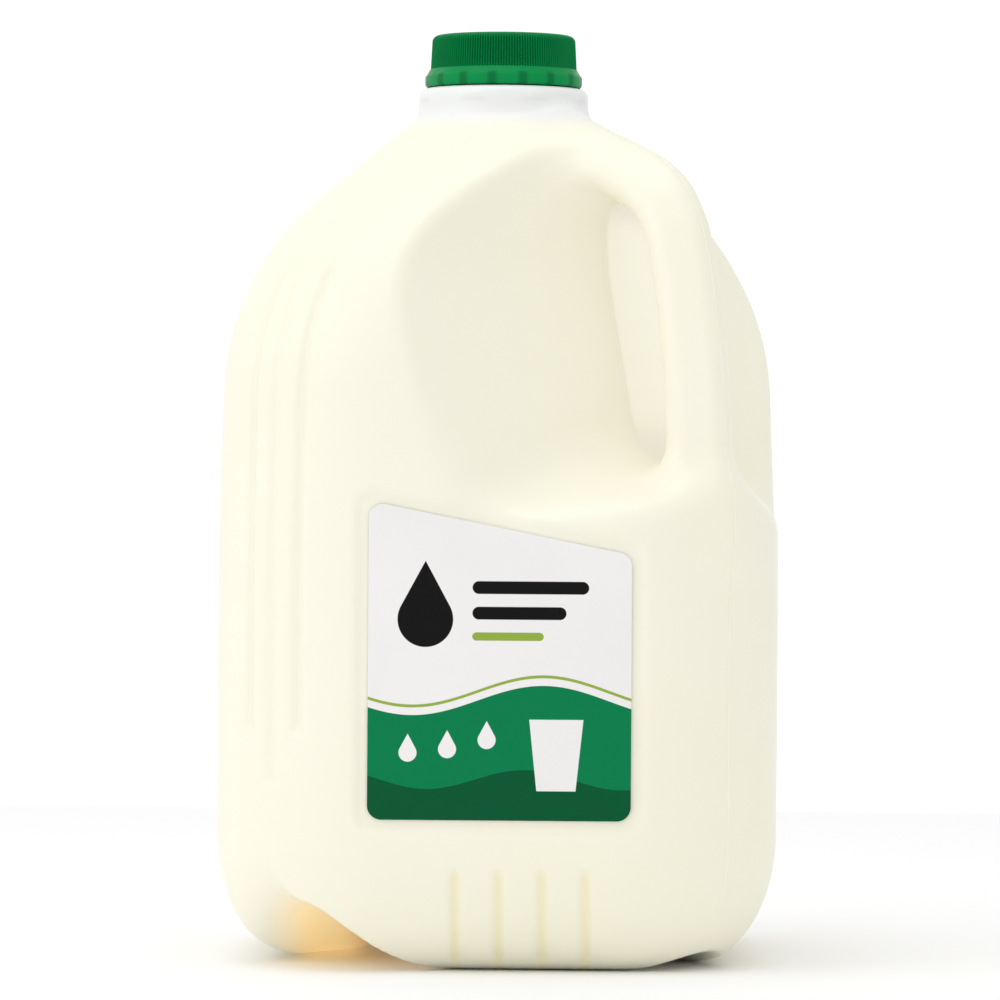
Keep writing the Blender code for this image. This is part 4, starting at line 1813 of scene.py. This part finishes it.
@dataclass
class PartingLine:
    """Thin bead that the mould left in the diagonal plane through the handle."""

    jug: BlownJug
    material: bpy.types.Material
    half_width: float = 0.00045
    height: float = 0.00013
    sink: float = 0.00030
    spacing: float = 0.0012
    sides: int = 8
    least_points: int = 4
    fade_points: float = 4.0
    probe: float = 0.0001
    settle_rounds: int = 3
    search_rounds: int = 60
    search_share: float = 0.8
    search_start: float = 0.130
    outer_run: tuple[float, float, int] = (0.0120, 0.2385, 160)
    wall_start: float = 0.0594
    wall_run: tuple[float, float, int] = (0.1480, 0.1980, 40)

    def contour(self, start: float, run: tuple[float, float, int]) -> Array:
        """Points where the jug's surface is met on the way from a start towards the jug's axis.

        Args:
            start: Reach in the diagonal plane at which the search starts.
            run: Lowest and highest height, and how many points there are between them.

        Returns:
            The points, as reach and height.
        """
        points = np.stack((np.full(run[2], start), np.linspace(*run)), axis=1)
        for _ in range(self.search_rounds):
            points[:, 0] -= math.copysign(self.search_share, start) * self.value(points)
        return points

    def value(self, here: Array) -> Array:
        """Work out the jug's field at points of the diagonal plane, given as reach and height."""
        reach, height = here[:, 0], here[:, 1]
        return self.jug.field(reach * DIAGONAL, -reach * DIAGONAL, height)

    def slope(self, here: Array) -> Array:
        """Outward direction of the surface within the diagonal plane.

        Args:
            here: The points, as reach and height.

        Returns:
            One unit vector per point.
        """
        moves = self.probe * np.identity(2)
        vectors = np.stack([self.value(here + move) - self.value(here - move) for move in moves], axis=1)
        return vectors / np.linalg.norm(vectors, axis=1, keepdims=True)

    def evenly(self, path: Array) -> Array:
        """Space the points of a path evenly and set them on the surface again.

        Args:
            path: Points of the path.

        Returns:
            The evenly spaced points.
        """
        steps = np.linalg.norm(np.diff(path, axis=0), axis=1)
        length = np.concatenate(([0.0], np.cumsum(steps)))
        count = max(self.least_points, int(length[-1] / self.spacing))
        at = np.linspace(0.0, length[-1], count)
        points = np.stack([np.interp(at, length, path[:, axis]) for axis in range(2)], axis=1)
        for _ in range(self.settle_rounds):
            points = points - self.value(points)[:, None] * self.slope(points)
        return points

    def bead(self, mesh: bmesh.types.BMesh, path: Array) -> None:
        """Draw a bead along a path in the diagonal plane.

        Args:
            mesh: Where it goes.
            path: Points of the path.
        """
        outward = self.slope(path)
        rings = []
        last = len(path) - 1
        for number, (point, out) in enumerate(zip(path, outward)):
            fade = min(1.0, number / self.fade_points, (last - number) / self.fade_points)
            ring = []
            for side in range(self.sides):
                angle = FULL_TURN * side / self.sides
                lift = (self.height if math.sin(angle) > 0 else self.sink) * math.sin(angle)
                lift = lift - (1.0 - fade) * self.sink
                reach = point[0] + out[0] * lift
                height = max(point[1] + out[1] * lift, 0.0)
                sideways = self.half_width * math.cos(angle)
                x, y = (reach + sideways) * DIAGONAL, (-reach + sideways) * DIAGONAL
                ring.append(mesh.verts.new((x, y, height)))
            rings.append(ring)
        for lower, upper in zip(rings[:-1], rings[1:]):
            join_rings(mesh, lower, upper)
        mesh.faces.new(list(reversed(rings[0])))
        mesh.faces.new(rings[-1])

    def paths(self) -> list[Array]:
        """Paths of the bead: the outer contour, the far corner, and the wall behind the handle."""
        searches = (
            (self.search_start, self.outer_run),
            (-self.search_start, self.outer_run),
            (self.wall_start, self.wall_run),
        )
        return [self.evenly(self.contour(start, run)) for start, run in searches]

    def build(self) -> bpy.types.Object:
        """Build the beads and dress them.

        Returns:
            The piece.
        """
        mesh = bmesh.new()
        for path in self.paths():
            self.bead(mesh, path)
        bmesh.ops.recalc_face_normals(mesh, faces=mesh.faces)
        return add_piece("parting_line", smooth_mesh("parting_line", mesh), self.material)


@dataclass(frozen=True)
class Studio:
    """Camera at the photograph's place, soft white light and a pale floor."""

    distance: float = 1.6767
    eye_height: float = 0.1356
    turn: float = math.radians(1.0)
    roll: float = math.radians(0.40)
    focal_pixels: float = 6026.0
    frame_pixels: float = 1000.0
    axis_column: float = 501.0
    horizon_row: float = 465.0
    sensor: float = 36.0
    back_strength: float = 1.05
    left_strength: float = 0.96
    right_strength: float = 0.84
    backdrop_edge: tuple[float, float] = (0.88, 0.98)
    floor_size: float = 1.4
    floor_drop: float = 0.0002
    floor_cells: int = 8
    floor_light: tuple[float, float, float] = (0.985, 0.985, 0.985)
    floor_deep: tuple[float, float, float] = (0.975, 0.975, 0.975)
    floor_cloud_scale: float = 3.0
    floor_cloud_range: tuple[float, float] = (0.3, 0.7)
    floor_roughness: float = 0.7
    clip: tuple[float, float] = (0.05, 20.0)
    key_place: tuple[float, float, float] = (-1.3, -0.8, 0.9)
    key_size: float = 0.8
    key_power: float = 2.3
    top_place: tuple[float, float, float] = (-0.2, -0.2, 1.6)
    top_size: float = 1.0
    top_power: float = 3.8
    target: tuple[float, float, float] = (0.0, 0.0, 0.13)
    side_range: tuple[float, float] = (-0.9, 0.9)

    def camera(self) -> None:
        """Set the camera."""
        data = bpy.data.cameras.new("photo_camera")
        data.sensor_width = self.sensor
        data.lens = self.focal_pixels / self.frame_pixels * self.sensor
        middle = 0.5 * self.frame_pixels
        data.shift_x = (middle - self.axis_column) / self.frame_pixels
        data.shift_y = (self.horizon_row - middle) / self.frame_pixels
        data.clip_start, data.clip_end = self.clip
        camera = bpy.data.objects.new("photo_camera", data)
        bpy.context.scene.collection.objects.link(camera)
        around = Matrix.Rotation(self.turn, 4, "Z")
        back = Matrix.Translation((0.0, -self.distance, self.eye_height))
        upright = Matrix.Rotation(0.5 * math.pi, 4, "X")
        camera.matrix_world = around @ back @ upright @ Matrix.Rotation(self.roll, 4, "Z")
        bpy.context.scene.camera = camera

    def panel(self, name: str, place: tuple[float, float, float], size: float, power: float) -> None:
        """Add a square soft light that looks at the jug.

        Args:
            name: Name of the light.
            place: Where it stands.
            size: Length of its side.
            power: Its power in watts.
        """
        data = bpy.data.lights.new(name, "AREA")
        data.shape = "SQUARE"
        data.size = size
        data.energy = power
        light = bpy.data.objects.new(name, data)
        bpy.context.scene.collection.objects.link(light)
        light.location = place
        light.rotation_mode = "QUATERNION"
        view = Vector(self.target) - Vector(place)
        light.rotation_quaternion = view.to_track_quat("-Z", "Y")

    def lights(self) -> None:
        """Set the lights and the white surroundings, brightest behind and to the left."""
        self.panel("key_left", self.key_place, self.key_size, self.key_power)
        self.panel("top", self.top_place, self.top_size, self.top_power)
        world = bpy.data.worlds.new("white_room")
        world.use_nodes = True
        bench = NodeBench(world.node_tree)
        source = bench.put("ShaderNodeTexCoord")
        split = bench.put("ShaderNodeSeparateXYZ")
        bench.feed(split.inputs[0], source.outputs["Generated"])
        behind = bench.between(split.outputs["Y"], *self.backdrop_edge)
        sides = (self.left_strength, self.right_strength)
        sideways = bench.between(split.outputs["X"], *self.side_range, *sides)
        spread = bench.math("SUBTRACT", self.back_strength, sideways)
        strength = bench.math("ADD", sideways, bench.times(behind, spread))
        background = bench.put("ShaderNodeBackground")
        bench.feed(background.inputs["Color"], WHITE)
        bench.feed(background.inputs["Strength"], strength)
        output = bench.put("ShaderNodeOutputWorld")
        bench.feed(output.inputs["Surface"], background.outputs["Background"])
        bpy.context.scene.world = world
        bpy.context.scene.view_settings.view_transform = "Standard"

    def floor(self) -> None:
        """Lay the pale floor."""
        mesh = bmesh.new()
        cells = self.floor_cells
        bmesh.ops.create_grid(mesh, x_segments=cells, y_segments=cells, size=0.5 * self.floor_size)
        data = smooth_mesh("floor", mesh)
        material, bench, shader = start_material("pale_floor")
        cloud = bench.noise(bench.object_vector(), self.floor_cloud_scale)
        shade = bench.between(cloud, *self.floor_cloud_range)
        tone = bench.mix(shade, (*self.floor_deep, 1.0), (*self.floor_light, 1.0))
        bench.feed(shader.inputs["Base Color"], tone)
        bench.feed(shader.inputs["Roughness"], self.floor_roughness)
        data.materials.append(material)
        floor = bpy.data.objects.new("floor", data)
        floor.location.z = -self.floor_drop
        bpy.context.scene.collection.objects.link(floor)

    def build(self) -> None:
        """Set up the whole studio."""
        self.camera()
        self.lights()
        self.floor()
        log.info("studio ready")


def main() -> None:
    """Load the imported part, build every piece in order and set up the studio."""
    logging.basicConfig(level=logging.INFO, format="%(name)s: %(message)s")
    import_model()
    Studio().build()
    effects = SharedEffects()
    jug = BlownJug(MilkyPlastic(effects))
    jug.build()
    PartingLine(jug, SeamPlastic().make()).build()
    ScrewCap(CapPlastic(effects)).build()
    FrontLabel(PrintedFilm(effects)).build()


if __name__ == "__main__":
    main()
